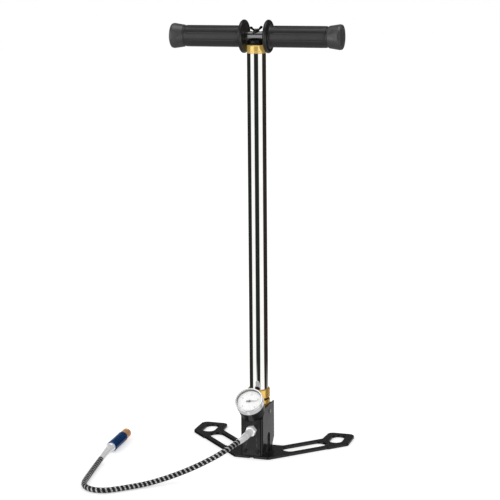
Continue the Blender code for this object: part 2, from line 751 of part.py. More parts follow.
def wall_screw(name, origin, direction, depth, material):
    """A button-head screw through the sheet, its head outside it. Local Z points outwards."""
    head_radius, head_height = SCREW_HEAD
    profile = [
        (0, GAP + head_height * 0.4),
        (SOCKET_RADIUS, GAP + head_height * 0.4),
        (SOCKET_RADIUS, GAP + head_height),
        (head_radius * 0.7, GAP + head_height),
        (head_radius, GAP + head_height * 0.35),
        (head_radius, GAP),
        (SCREW_RADIUS, GAP),
        (SCREW_RADIUS, -depth),
        (0, -depth),
    ]
    return turned(name, profile, material, sides=FEW_SIDES, origin=origin, direction=direction)


def housing_screws():
    wall = SHEET + GAP
    room = BLOCK_HALF - ADAPTER_THREAD_RADIUS - 2 * GAP
    for side, word in ((-1, "left"), (1, "right")):
        front = (side * FRONT_SCREW[0], HOUSING_FRONT, FRONT_SCREW[1])
        wall_screw(f"front_screw_{word}", front, (0, -1, 0), wall + SCREW_DEPTH, BLACK_ALLOY)
        start = (side * HOUSING_HALF, 0, SIDE_SCREW_Z)
        wall_screw(f"side_screw_{word}", start, (side, 0, 0), wall + min(room, SCREW_DEPTH) - GAP, STEEL)


# ---------------------------------------------------------------- cylinder and what is fixed in it


def base_adapter():
    """Brass: screwed into the valve block, it carries the cylinder and the inner tube."""
    spigot = BORE_RADIUS - GAP
    groove = TUBE_RADIUS - GROOVE_DEPTH
    neck = ADAPTER_THREAD_RADIUS + ADAPTER_NECK_STEP
    socket = INNER_TUBE_RADIUS + GAP
    top = TUBE_BOTTOM + ADAPTER_SPIGOT
    profile = [
        (socket, top),
        (spigot, top),
        (spigot, TUBE_BOTTOM - GAP),
        (groove, TUBE_BOTTOM - GAP),
        (groove, ADAPTER_RING_TOP),
        (COLLAR_RADIUS - 0.0004, ADAPTER_RING_TOP),
        (COLLAR_RADIUS, ADAPTER_RING_TOP - 0.0004),
        (COLLAR_RADIUS, ADAPTER_RING_BOTTOM + 0.0004),
        (COLLAR_RADIUS - 0.0004, ADAPTER_RING_BOTTOM),
        (neck, ADAPTER_RING_BOTTOM),
        (neck, BLOCK_TOP + GAP),
        (ADAPTER_THREAD_RADIUS, BLOCK_TOP + GAP),
        (ADAPTER_THREAD_RADIUS, ADAPTER_BOTTOM),
        (FITTING_BORE, ADAPTER_BOTTOM),
        (FITTING_BORE, INNER_SEAT),
        (socket, INNER_SEAT),
    ]
    turned("base_adapter", profile, BRASS, hollow=True)
    groove_middle = (ADAPTER_RING_TOP + TUBE_BOTTOM) / 2
    o_ring("base_o_ring", groove + O_RING_SECTION / 2 + 0.0002, O_RING_SECTION, groove_middle, RUBBER)
    nut_top = TUBE_BOTTOM + TUBE_NUT_HEIGHT
    ring("tube_nut", TUBE_RADIUS + GAP, COLLAR_RADIUS, TUBE_BOTTOM, nut_top, BRASS, 0.0005)


def cylinder():
    ring("outer_tube", BORE_RADIUS, TUBE_RADIUS, TUBE_BOTTOM, TUBE_TOP, CHROME)
    passage = PISTON_TUBE_RADIUS + RUNNING
    pocket = passage + BUSH_WALL + GAP
    pocket_top = TUBE_TOP + GAP + GLAND_CAP_HEIGHT * 0.35
    bottom = TUBE_TOP - GLAND_SPIGOT
    profile = [
        (passage, GLAND_TOP),
        (TUBE_RADIUS - 0.0008, GLAND_TOP),
        (TUBE_RADIUS, GLAND_TOP - 0.0008),
        (TUBE_RADIUS, TUBE_TOP + GAP),
        (BORE_RADIUS - GAP, TUBE_TOP + GAP),
        (BORE_RADIUS - GAP, bottom),
        (pocket, bottom),
        (pocket, pocket_top),
        (passage, pocket_top),
    ]
    turned("gland_nut", profile, BRASS, hollow=True)
    bush_top = bottom + BUSH_HEIGHT
    ring("gland_bush", passage, passage + BUSH_WALL, bottom + GAP, bush_top, BRONZE)
    ring("wiper_seal", passage, passage + BUSH_WALL, bush_top + GAP, pocket_top - GAP, RUBBER)


def inner_tube():
    """The high-pressure tube that stands in the piston tube, with a sealing head on top."""
    bottom = INNER_SEAT + GAP
    ring("inner_tube", INNER_TUBE_BORE, INNER_TUBE_RADIUS, bottom, INNER_TUBE_TOP, STEEL, sides=FEW_SIDES)
    head_bottom = INNER_HEAD_TOP - INNER_HEAD_HEIGHT
    middle = INNER_HEAD_TOP - 0.28 * INNER_HEAD_HEIGHT
    groove = INNER_HEAD_RADIUS - RING_SECTION
    socket = INNER_TUBE_RADIUS + GAP
    profile = [
        (ROD_RADIUS + RUNNING, INNER_HEAD_TOP),
        (INNER_HEAD_RADIUS, INNER_HEAD_TOP),
        (INNER_HEAD_RADIUS, middle + RING_SECTION),
        (groove, middle + RING_SECTION),
        (groove, middle - RING_SECTION),
        (INNER_HEAD_RADIUS, middle - RING_SECTION),
        (INNER_HEAD_RADIUS, head_bottom),
        (socket, head_bottom),
        (socket, INNER_TUBE_TOP + GAP),
        (ROD_RADIUS + RUNNING, INNER_TUBE_TOP + GAP),
    ]
    turned("inner_head", profile, BRASS, hollow=True, sides=FEW_SIDES)
    seal = INNER_HEAD_RADIUS - RING_SECTION / 2 + 0.00005
    o_ring("inner_head_seal", seal, RING_SECTION - 0.0003, middle, RUBBER, sides=FEW_SIDES)


def outlet_valve():
    """The non-return valve below the adapter: a seat, a ball, and the spring that lifts it."""
    ring("valve_seat", FITTING_BORE, CHAMBER_RADIUS - GAP, SEAT_BOTTOM, SEAT_BOTTOM + SEAT_HEIGHT, BRASS,
         sides=FEW_SIDES)
    ball_z = SEAT_BOTTOM - GAP - BALL_RADIUS

    def build(edit):
        bmesh.ops.create_uvsphere(edit, u_segments=12, v_segments=8, radius=BALL_RADIUS)

    ball = mesh_object("outlet_ball", build, STEEL)
    ball.location.z = ball_z
    low = CHAMBER_FLOOR + GAP + SPRING_WIRE
    high = ball_z - BALL_RADIUS - GAP - SPRING_WIRE
    turns, per_turn = SPRING_TURNS, 10
    points = []
    for i in range(turns * per_turn + 1):
        angle = 2 * math.pi * i / per_turn
        height = low + (high - low) * i / (turns * per_turn)
        points.append((SPRING_RADIUS * math.cos(angle), SPRING_RADIUS * math.sin(angle), height))
    wire("outlet_spring", points, SPRING_WIRE, STEEL, resolution=1)


def bleed_screw():
    """The pressure release: a screw in the block's back, turned by a fluted knob."""
    depth = HOUSING_BACK - BLOCK_BACK
    stem_top = depth + GAP + 0.6 * KNOB_LENGTH
    rod("bleed_stem", BLEED_RADIUS, -BLEED_DEPTH, stem_top, STEEL, sides=FEW_SIDES,
        origin=(0, BLOCK_BACK, BLEED_Z), direction=(0, 1, 0))
    outline = []
    per_flute = 4
    for i in range(KNOB_FLUTES * per_flute):
        angle = 2 * math.pi * i / (KNOB_FLUTES * per_flute)
        radius = KNOB_RADIUS - 0.0004 * (1 - math.cos(angle * KNOB_FLUTES))
        outline.append((radius * math.cos(angle), radius * math.sin(angle)))
    knob = plate("bleed_knob", [outline], KNOB_LENGTH, BLACK_ALLOY)
    place(knob, (0, KNOB_FRONT + KNOB_LENGTH / 2, BLEED_Z), (0, 1, 0))
    socket = rod("bleed_socket", BLEED_RADIUS + GAP, -KNOB_LENGTH, 0.6 * KNOB_LENGTH + GAP, sides=FEW_SIDES,
                 origin=(0, KNOB_FRONT, BLEED_Z), direction=(0, 1, 0))
    cut(knob, socket)


# ---------------------------------------------------------------- gauge


def gauge_turned(name, profile, material, hollow=False, sides=SIDES):
    """A turned piece on the gauge's axis. Heights are depths behind the gauge's front, so negative."""
    obj = turned(name, profile, material, hollow=hollow, sides=sides)
    return place(obj, GAUGE_FRONT, -GAUGE_IN)


def gauge():
    case_front = -BEZEL_DEPTH - GAP
    back = -CASE_BACK
    lip = BEZEL_RADIUS - BEZEL_LIP
    wall = BEZEL_RADIUS - 0.0009
    gauge_turned("gauge_bezel", [
        (lip, 0),
        (BEZEL_RADIUS - 0.0008, 0),
        (BEZEL_RADIUS, -0.0008),
        (BEZEL_RADIUS, -BEZEL_DEPTH),
        (wall, -BEZEL_DEPTH),
        (wall, -GLASS_SET_BACK + GAP),
        (lip, -GLASS_SET_BACK + GAP),
    ], CHROME, hollow=True)
    glass_back = -GLASS_SET_BACK - GLASS_THICKNESS
    glass = wall - GAP
    gauge_turned("gauge_glass", [
        (0, -GLASS_SET_BACK),
        (glass, -GLASS_SET_BACK),
        (glass, glass_back),
        (0, glass_back),
    ], GLASS)
    dial_front, dial_back = -DIAL_SET_BACK, -DIAL_SET_BACK - DIAL_THICKNESS
    spindle_hole = SPINDLE_RADIUS + GAP
    gauge_turned("gauge_dial", [
        (spindle_hole, dial_front),
        (glass, dial_front),
        (glass, dial_back),
        (spindle_hole, dial_back),
    ], WHITE_PAINT, hollow=True)
    floor = back + CASE_WALL
    inside = CASE_RADIUS - CASE_WALL
    stem_hole = PORT_RADIUS + GAP
    gauge_turned("gauge_case", [
        (inside, case_front),
        (CASE_RADIUS, case_front),
        (CASE_RADIUS, back + 0.001),
        (CASE_RADIUS - 0.001, back),
        (stem_hole, back),
        (stem_hole, floor),
        (inside, floor),
    ], BLACK_STEEL, hollow=True)
    gauge_stem(back, floor)
    gauge_needle()
    bourdon_tube(floor)


def gauge_stem(back, floor):
    """The brass stem: a thread in the block, a hexagon, and a socket inside the case."""
    hexagon_bottom = back - GAP - STEM_HEX_HEIGHT
    stem = plate("gauge_stem", [hexagon(STEM_HEX)], STEM_HEX_HEIGHT, BRASS)
    place(stem, gauge_point(CASE_BACK + GAP + STEM_HEX_HEIGHT / 2), -GAUGE_IN)
    core = turned("stem_core", [
        (0, floor + 0.005),
        (PORT_RADIUS, floor + 0.005),
        (PORT_RADIUS, hexagon_bottom - PORT_DEPTH),
        (0, hexagon_bottom - PORT_DEPTH),
    ], sides=FEW_SIDES)
    place(core, GAUGE_FRONT, -GAUGE_IN)
    boolean(stem, core, "UNION")


def gauge_needle():
    """Pointer and hub in one, on its spindle through the dial."""
    height = -DIAL_SET_BACK + 3 * GAP + NEEDLE_THICKNESS / 2
    half = NEEDLE_WIDTH / 2
    outline = [
        (-NEEDLE_TAIL, -half * 1.4),
        (0, -half),
        (NEEDLE_LENGTH, -half * 0.25),
        (NEEDLE_LENGTH, half * 0.25),
        (0, half),
        (-NEEDLE_TAIL, half * 1.4),
    ]
    needle = plate("gauge_needle", [outline], NEEDLE_THICKNESS, BLACK_ALLOY)
    turn = Matrix.Rotation(NEEDLE_REST, 4, "Z")
    tilt = Vector(-GAUGE_IN).to_track_quat("Z", "Y").to_matrix().to_4x4()
    needle.matrix_world = Matrix.Translation(gauge_point(-height)) @ tilt @ turn
    hub = turned("needle_hub", [
        (0, height + 0.0006),
        (NEEDLE_WIDTH * 1.1, height + 0.0006),
        (NEEDLE_WIDTH * 1.1, height - NEEDLE_THICKNESS / 2),
        (SPINDLE_RADIUS, height - NEEDLE_THICKNESS / 2),
        (SPINDLE_RADIUS, -DIAL_SET_BACK - 0.006),
        (0, -DIAL_SET_BACK - 0.006),
    ], sides=16)
    place(hub, GAUGE_FRONT, -GAUGE_IN)
    boolean(needle, hub, "UNION")


def bourdon_tube(floor):
    """The C-shaped spring tube that turns the needle, fixed to the stem's socket."""
    radius = 0.0125
    depth = floor + 0.008
    points = []
    for i in range(17):
        angle = math.radians(-120 + 250 * i / 16)
        points.append((radius * math.cos(angle), radius * math.sin(angle), depth))
    tube = wire("bourdon_tube", points, 0.0013, BRASS, resolution=1)
    place(tube, GAUGE_FRONT, -GAUGE_IN)


# ---------------------------------------------------------------- hose


def ferrule(name, length, origin, direction):
    """A crimped ferrule. Local Z runs from the fitting to the hose."""
    shape = ((1, 0), (1, 0.22), (0.9, 0.26), (0.9, 0.42), (1, 0.46), (1, 0.62), (0.94, 0.66), (0.94, 1))
    outer = [(FERRULE_RADIUS * radius, length * height) for radius, height in shape]
    profile = [(FITTING_BORE, length), *reversed(outer), (FITTING_BORE, 0)]
    turned(name, profile, CHROME, hollow=True, sides=FEW_SIDES, origin=origin, direction=direction)


def hose_fitting():
    fitting = plate("hose_fitting", [hexagon(HOSE_HEX)], HOSE_HEX_LENGTH, CHROME)
    place(fitting, (0, FITTING_FRONT + HOSE_HEX_LENGTH / 2, HOSE_PORT_Z), (0, -1, 0))
    stub = rod("fitting_stub", PORT_RADIUS, -GAP - PORT_DEPTH, HOSE_HEX_LENGTH / 2,
               origin=(0, BLOCK_FRONT, HOSE_PORT_Z), direction=(0, -1, 0))
    boolean(fitting, stub, "UNION")
    cut(fitting, rod("fitting_bore", FITTING_BORE, -BLOCK_WIDTH, BLOCK_WIDTH, sides=12,
                     origin=(0, BLOCK_FRONT, HOSE_PORT_Z), direction=(0, -1, 0)))
    ferrule("hose_ferrule", FERRULE_LENGTH, (0, FITTING_FRONT - GAP, HOSE_PORT_Z), (0, -1, 0))


def hose_line():
    """The hose's centreline, from the pump's ferrule to the end ferrule."""
    start = Vector((0, FERRULE_END - GAP, HOSE_PORT_Z))
    end = END_FERRULE_START - COUPLER_DIRECTION * GAP
    return smooth_line([start, *HOSE_ROUTE, end])


def guard(name, line, start, end, widest_first):
    """A flexible sleeve on the hose, widest at its ferrule."""
    points = part_of(line, start, end, 0.004)
    obj = wire(name, points, 1.0, CHROME)
    spline = obj.data.splines[0]
    last = len(points) - 1
    for i, point in enumerate(spline.points):
        share = i / last if widest_first else 1 - i / last
        point.radius = GUARD_RADIUS + (HOSE_DIAMETER / 2 + 0.0003 - GUARD_RADIUS) * share
    return obj


def hose():
    line = hose_line()
    length = distances(line)[-1]
    hose_start = GUARD_LENGTH + 2 * GAP
    hose_end = length - END_GUARD_LENGTH - 2 * GAP
    guard("hose_guard", line, 0, GUARD_LENGTH, widest_first=True)
    wire("hose", part_of(line, hose_start, hose_end, 0.012), HOSE_DIAMETER / 2, RUBBER)
    guard("end_guard", line, length - END_GUARD_LENGTH, length, widest_first=False)
    ferrule("end_ferrule", END_FERRULE_LENGTH, END_FERRULE_START + COUPLER_DIRECTION * END_FERRULE_LENGTH,
            -COUPLER_DIRECTION)
    coupler()


def coupler():
    """The quick coupler: a blue fluted body, and a brass sleeve that pulls back to let go."""
    start = END_FERRULE_START + COUPLER_DIRECTION * (END_FERRULE_LENGTH + GAP)
    outline = []
    for i in range(48):
        angle = 2 * math.pi * i / 48
        radius = COUPLER_RADIUS - 0.0002 * (1 - math.cos(angle * 12))
        outline.append((radius * math.cos(angle), radius * math.sin(angle)))
    body = plate("coupler_body", [outline], COUPLER_LENGTH, BLUE_ALLOY)
    place(body, start + COUPLER_DIRECTION * (COUPLER_LENGTH / 2), COUPLER_DIRECTION)
    spigot = rod("coupler_spigot", SPIGOT_RADIUS, COUPLER_LENGTH / 2, COUPLER_TOTAL, sides=FEW_SIDES,
                 origin=start, direction=COUPLER_DIRECTION)
    boolean(body, spigot, "UNION")
    cut(body, rod("coupler_bore", FITTING_BORE, -COUPLER_TOTAL, 2 * COUPLER_TOTAL, sides=12,
                  origin=start, direction=COUPLER_DIRECTION))
    front = COUPLER_LENGTH + GAP + SLEEVE_TRAVEL
    ring("coupler_sleeve", SPIGOT_RADIUS + RUNNING, SLEEVE_RADIUS, front, front + SLEEVE_LENGTH, BRASS,
         0.0012, origin=start, direction=COUPLER_DIRECTION)


# ---------------------------------------------------------------- piston, which slides


def piston():
    top = PISTON_FLOOR + PISTON_HEIGHT
    ring("piston_tube", PISTON_TUBE_BORE, PISTON_TUBE_RADIUS, PISTON_TUBE_BOTTOM, PISTON_TUBE_TOP, CHROME)
    through = INNER_TUBE_RADIUS + RUNNING
    socket = PISTON_TUBE_RADIUS + GAP
    groove = PISTON_RADIUS - RING_SECTION
    seal_z = PISTON_FLOOR + 0.28 * PISTON_HEIGHT
    wear_z = PISTON_FLOOR + 0.70 * PISTON_HEIGHT
    half = RING_SECTION
    wear_half = 0.0021
    profile = [
        (socket, top),
        (PISTON_RADIUS, top),
        (PISTON_RADIUS, wear_z + wear_half),
        (groove, wear_z + wear_half),
        (groove, wear_z - wear_half),
        (PISTON_RADIUS, wear_z - wear_half),
        (PISTON_RADIUS, seal_z + half),
        (groove, seal_z + half),
        (groove, seal_z - half),
        (PISTON_RADIUS, seal_z - half),
        (PISTON_RADIUS, PISTON_FLOOR),
        (through, PISTON_FLOOR),
        (through, PISTON_FLOOR + PISTON_LIP),
        (socket, PISTON_FLOOR + PISTON_LIP),
    ]
    turned("piston_head", profile, BRASS, hollow=True)
    seal = PISTON_RADIUS - RING_SECTION / 2 + 0.00005
    o_ring("piston_seal", seal, RING_SECTION - 0.0003, seal_z, RUBBER)
    ring("piston_wear_ring", groove + 0.0002, PISTON_RADIUS + 0.0001, wear_z - wear_half + GAP,
         wear_z + wear_half - GAP, NYLON)
    plunger()


def plunger():
    """The thin rod of the last stage, which hangs from the plug in the piston tube's top."""
    rod_top = PLUG_BOTTOM + 0.006
    rod("plunger_rod", ROD_RADIUS, ROD_BOTTOM, rod_top, STEEL, sides=16)
    tip_top = ROD_BOTTOM - GAP
    rod("plunger_tip", INNER_TUBE_BORE - RUNNING, tip_top - TIP_HEIGHT, tip_top, BRASS, sides=16)
    plug = PISTON_TUBE_BORE - GAP
    stud_top = WING_BOTTOM + WING_HUB[1] + 0.001
    turned("top_plug", [
        (0, stud_top),
        (STUD_RADIUS - 0.0005, stud_top),
        (STUD_RADIUS, stud_top - 0.0005),
        (STUD_RADIUS, PISTON_TUBE_TOP),
        (plug, PISTON_TUBE_TOP),
        (plug, PLUG_BOTTOM),
        (ROD_RADIUS + GAP, PLUG_BOTTOM),
        (ROD_RADIUS + GAP, rod_top + GAP),
        (0, rod_top + GAP),
    ], STEEL, sides=FEW_SIDES)


# ---------------------------------------------------------------- handle


def handle_hub():
    """The cradle between the piston tube and the bar, and the rubber ring below it."""
    bumper_top = BUMPER_BOTTOM + BUMPER_HEIGHT
    ring("bumper_ring", PISTON_TUBE_RADIUS + RUNNING, HUB_RADIUS, BUMPER_BOTTOM, bumper_top, RUBBER)
    top = BAR_Z - BAR_RADIUS + HUB_SIDE
    hub = ring("handle_hub", STUD_RADIUS + GAP, HUB_RADIUS, HUB_BOTTOM, top, BLACK_ALLOY, 0.0008)
    reach = 2 * HUB_RADIUS
    cut(hub, rod("bar_cradle", BAR_RADIUS + GAP, -reach, reach, sides=SIDES, origin=(0, 0, BAR_Z),
                 direction=(1, 0, 0)))


def handle_bar():
    bar = ring("handle_bar", BAR_RADIUS - BAR_WALL, BAR_RADIUS, -BAR_HALF, BAR_HALF, BLACK_STEEL,
               origin=(0, 0, BAR_Z), direction=(1, 0, 0))
    radius, depth = BAR_FLAT
    cut(bar, rod("stud_hole", STUD_RADIUS + GAP, -2 * BAR_RADIUS, 2 * BAR_RADIUS, origin=(0, 0, BAR_Z)))
    cut(bar, rod("spot_face", radius, BAR_RADIUS - depth, 2 * BAR_RADIUS, origin=(0, 0, BAR_Z)))


def grip(name, side):
    """A moulded rubber grip: hand stop, plain barrel, flared closed end."""
    bore = BAR_RADIUS + GAP
    bore_end = BAR_HALF + GAP
    end = BAR_HALF + GRIP_CAP
    flange = GRIP_INNER + GRIP_FLANGE
    flare = end - GRIP_FLARE
    soft = 0.0015
    profile = [
        (0, end),
        (GRIP_END_RADIUS - 2 * soft, end),
        (GRIP_END_RADIUS - 0.4 * soft, end - soft),
        (GRIP_END_RADIUS, end - 2.5 * soft),
        (GRIP_RADIUS + 0.0003, flare),
        (GRIP_RADIUS - 0.0008, flare - 0.001),
        (GRIP_RADIUS - 0.0008, flare - 0.0025),
        (GRIP_RADIUS, flare - 0.0035),
        (GRIP_RADIUS, flange + 0.001),
        (GRIP_RADIUS + 0.001, flange),
        (GRIP_FLANGE_RADIUS - soft, flange),
        (GRIP_FLANGE_RADIUS, flange - soft),
        (GRIP_FLANGE_RADIUS, GRIP_INNER + soft),
        (GRIP_FLANGE_RADIUS - soft, GRIP_INNER),
        (bore, GRIP_INNER),
        (bore, bore_end),
        (0, bore_end),
    ]
    turned(name, profile, RUBBER, origin=(0, 0, BAR_Z), direction=(side, 0, 0))


def wing_nut():
    washer_top = WASHER_BOTTOM + WASHER[1]
    ring("wing_washer", STUD_RADIUS + GAP, WASHER[0], WASHER_BOTTOM, washer_top, BLACK_ALLOY,
         sides=FEW_SIDES)
    radius, height = WING_HUB
    outline = rounded([
        (-radius * 0.9, height * 0.15, 0.0004),
        (radius * 0.9, height * 0.15, 0.0004),
        (WING_SPAN, WING_RISE * 0.62, 0.0011),
        (WING_SPAN * 0.97, WING_RISE, 0.0011),
        (WING_SPAN * 0.78, WING_RISE, 0.0011),
        (radius * 0.95, height * 0.95, 0.0008),
        (-radius * 0.95, height * 0.95, 0.0008),
        (-WING_SPAN * 0.78, WING_RISE, 0.0011),
        (-WING_SPAN * 0.97, WING_RISE, 0.0011),
        (-WING_SPAN, WING_RISE * 0.62, 0.0011),
    ], 3)
    nut = along_y(plate("wing_nut", [outline], WING_THICKNESS, BLACK_ALLOY))
    nut.rotation_euler.z = WING_TURN
    nut.location.z = WING_BOTTOM
    barrel = rod("wing_barrel", radius, 0, height, origin=(0, 0, WING_BOTTOM))
    boolean(nut, barrel, "UNION")
    cut(nut, rod("wing_bore", STUD_RADIUS + GAP, -height, 3 * height, sides=FEW_SIDES,
                 origin=(0, 0, WING_BOTTOM)))


# ---------------------------------------------------------------- the whole pump

clear_scene()
PUMP = new_collection("floor_pump")
CUTTERS = new_collection("cutters")

BLACK_STEEL = principled("black_steel", (0.02, 0.02, 0.022), 0.35)
BLACK_ALLOY = principled("black_alloy", (0.03, 0.03, 0.033), 0.4, 0.6)
DARK_STEEL = principled("dark_steel", (0.12, 0.12, 0.12), 0.4, 1.0)
CHROME = principled("chrome", (0.82, 0.82, 0.82), 0.08, 1.0)
STEEL = principled("steel", (0.6, 0.6, 0.6), 0.25, 1.0)
BRASS = principled("brass", (0.80, 0.56, 0.20), 0.22, 1.0)
BRONZE = principled("bronze", (0.45, 0.30, 0.15), 0.35, 1.0)
RUBBER = principled("rubber", (0.025, 0.025, 0.028), 0.65)
NYLON = principled("nylon", (0.75, 0.73, 0.68), 0.5)
BLUE_ALLOY = principled("blue_alloy", (0.02, 0.10, 0.35), 0.25, 0.9)
WHITE_PAINT = principled("white_paint", (0.85, 0.85, 0.85), 0.5)
GLASS = principled("glass", (0.9, 0.95, 0.95), 0.02)

foot_plate()
plate_screws()
housing()
valve_block()
housing_screws()
base_adapter()
cylinder()
inner_tube()
outlet_valve()
bleed_screw()
gauge()
hose_fitting()
hose()
piston()
handle_hub()
handle_bar()
grip("grip_left", -1)
grip("grip_right", 1)
wing_nut()
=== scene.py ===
"""Looks of a floor pump for very high pressure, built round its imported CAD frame.

Metres, +Z up, in the frame's own axes: the origin is on the floor, on the cylinder's axis, the
handle lies along X, and the gauge and the hose face -Y. Each fine piece repeats the size of the
CAD node that it stands for.
"""

import math

import bmesh
import bpy
from mathutils import Matrix, Vector


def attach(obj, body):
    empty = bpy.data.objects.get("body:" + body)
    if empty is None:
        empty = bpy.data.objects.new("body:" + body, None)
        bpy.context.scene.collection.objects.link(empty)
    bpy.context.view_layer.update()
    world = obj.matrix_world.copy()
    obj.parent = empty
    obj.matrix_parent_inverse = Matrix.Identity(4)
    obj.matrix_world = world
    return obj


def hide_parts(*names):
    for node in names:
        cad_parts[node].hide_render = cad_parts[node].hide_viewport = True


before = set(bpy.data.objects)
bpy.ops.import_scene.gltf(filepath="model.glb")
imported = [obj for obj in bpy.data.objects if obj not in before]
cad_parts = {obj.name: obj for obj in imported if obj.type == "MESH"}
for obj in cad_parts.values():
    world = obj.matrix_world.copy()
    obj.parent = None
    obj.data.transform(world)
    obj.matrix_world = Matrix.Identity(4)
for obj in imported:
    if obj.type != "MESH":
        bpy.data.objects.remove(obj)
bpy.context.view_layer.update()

SCENE = bpy.context.scene
GAP = 0.0003
SIDES = 96
LONG_STRETCH = 0.0009
SUPPORT = 0.00012
X_AXIS = Vector((1, 0, 0))
Y_AXIS = Vector((0, 1, 0))

# ---------------------------------------------------------------- camera

CAMERA_PLACE = (0.665559, -2.149978, 0.759087)
CAMERA_RIGHT = Vector((0.95419263, 0.29907541, -0.00838623))
CAMERA_UP = Vector((-0.05068581, 0.18920911, 0.98062779))
CAMERA_AZIMUTH = math.atan2(CAMERA_PLACE[0], -CAMERA_PLACE[1])

camera_data = bpy.data.cameras.new("camera")
camera_data.lens = 111.637
camera_data.sensor_width = 36
camera_data.clip_end = 60
camera = bpy.data.objects.new("camera", camera_data)
camera_turn = Matrix((CAMERA_RIGHT, CAMERA_UP, CAMERA_RIGHT.cross(CAMERA_UP).normalized())).transposed()
camera.matrix_world = Matrix.Translation(CAMERA_PLACE) @ camera_turn.to_4x4()
SCENE.collection.objects.link(camera)
SCENE.camera = camera

# ---------------------------------------------------------------- mesh helpers


def mesh_object(name, build, outward=True):
    mesh = bpy.data.meshes.new(name)
    edit = bmesh.new()
    build(edit)
    if outward:
        bmesh.ops.recalc_face_normals(edit, faces=edit.faces)
    edit.to_mesh(mesh)
    edit.free()
    obj = bpy.data.objects.new(name, mesh)
    SCENE.collection.objects.link(obj)
    return obj


def smooth(obj):
    for face in obj.data.polygons:
        face.use_smooth = True


def shaded(obj, degrees=32):
    """Smooth shading, with edges sharper than this angle kept sharp."""
    smooth(obj)
    obj.data.set_sharp_from_angle(angle=math.radians(degrees))
    return obj


def bevelled(obj, width, segments=2, degrees=35):
    """Gives edges sharper than this angle a small rounding, as a modifier."""
    bevel = obj.modifiers.new("Edge", "BEVEL")
    bevel.width = width
    bevel.segments = segments
    bevel.limit_method = "ANGLE"
    bevel.angle_limit = math.radians(degrees)


def piece(obj, body, slot, material, *nodes):
    """Gives a finished mesh its material and its body, and hides the CAD nodes that it stands for. slot is
    not used.
    """
    obj.data.materials.clear()
    obj.data.materials.append(material)
    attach(obj, body)
    if nodes:
        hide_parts(*nodes)
    return obj


def placing(origin, direction):
    """The matrix that puts local Z along direction, with the local origin at origin."""
    turn = Vector(direction).to_track_quat("Z", "Y").to_matrix().to_4x4()
    return Matrix.Translation(origin) @ turn


def soft(corners, closed=False, steps=4):
    """A profile through corners given as (radius, height, rounding), each with an arc."""
    points = []
    count = len(corners)
    for i, corner in enumerate(corners):
        here = Vector(corner[:2])
        rounding = corner[2] if len(corner) > 2 else 0
        if rounding == 0 or (not closed and i in (0, count - 1)):
            points.append(tuple(here))
            continue
        before = (Vector(corners[i - 1][:2]) - here).normalized()
        after = (Vector(corners[(i + 1) % count][:2]) - here).normalized()
        half = before.angle(after) / 2
        centre = here + (before + after).normalized() * (rounding / math.sin(half))
        start = here + before * (rounding / math.tan(half)) - centre
        end = here + after * (rounding / math.tan(half)) - centre
        sweep = start.angle_signed(end)
        for k in range(steps + 1):
            points.append(tuple(centre + Matrix.Rotation(-sweep * k / steps, 2) @ start))
    return points


def supported(profile, closed):
    """The profile with a point near each end of its long stretches, which keeps their shading straight."""
    made = []
    ends = profile[1:] + (profile[:1] if closed else [])
    for a, b in zip(profile, ends):
        made.append(a)
        span = math.dist(a, b)
        if span > LONG_STRETCH:
            for share in (SUPPORT / span, 1 - SUPPORT / span):
                made.append((a[0] + (b[0] - a[0]) * share, a[1] + (b[1] - a[1]) * share))
    return made if closed else [*made, profile[-1]]


def skin(edit, rings, closed=False, caps=False):
    """Faces between rings of points, where a ring on the axis is a single point."""
    for a, b in zip(rings, rings[1:] + (rings[:1] if closed else [])):
        count = max(len(a), len(b))
        for i in range(count):
            j = (i + 1) % count
            if len(a) == 1:
                edit.faces.new((a[0], b[i], b[j]))
            elif len(b) == 1:
                edit.faces.new((a[i], b[0], a[j]))
            else:
                edit.faces.new((a[i], b[i], b[j], a[j]))
    if caps:
        edit.faces.new(rings[0])
        edit.faces.new(rings[-1])


def lathe(name, profile, origin=(0, 0, 0), direction=(0, 0, 1), sides=SIDES, closed=False, shape=None):
    """A turned piece of (radius, height) points, closed on itself or from axis to axis.
    shape changes a radius by its angle and height."""
    place = placing(origin, direction)
    profile = supported(profile, closed)

    def build(edit):
        rings = []
        for radius, height in profile:
            if radius < 1e-7:
                rings.append([edit.verts.new(place @ Vector((0, 0, height)))])
                continue
            ring = []
            for i in range(sides):
                angle = 2 * math.pi * i / sides
                here = shape(angle, radius, height) if shape else radius
                point = Vector((here * math.cos(angle), here * math.sin(angle), height))
                ring.append(edit.verts.new(place @ point))
            rings.append(ring)
        skin(edit, rings, closed)

    return shaded(mesh_object(name, build))


def tube_ring(name, inner, outer, bottom, top, edge=0.0004, **where):
    """A ring or tube whose outer and inner edges are softly broken."""
    small = min(edge, 0.45 * (outer - inner))
    corners = [
        (inner, top, small), (outer, top, small), (outer, bottom, small), (inner, bottom, small),
    ]
    return lathe(name, soft(corners, closed=True), closed=True, **where)


def rounded(corners, steps=8):
    """A closed outline through corners given as (x, y, radius), each with an arc of that radius."""
    return soft(corners, closed=True, steps=steps)


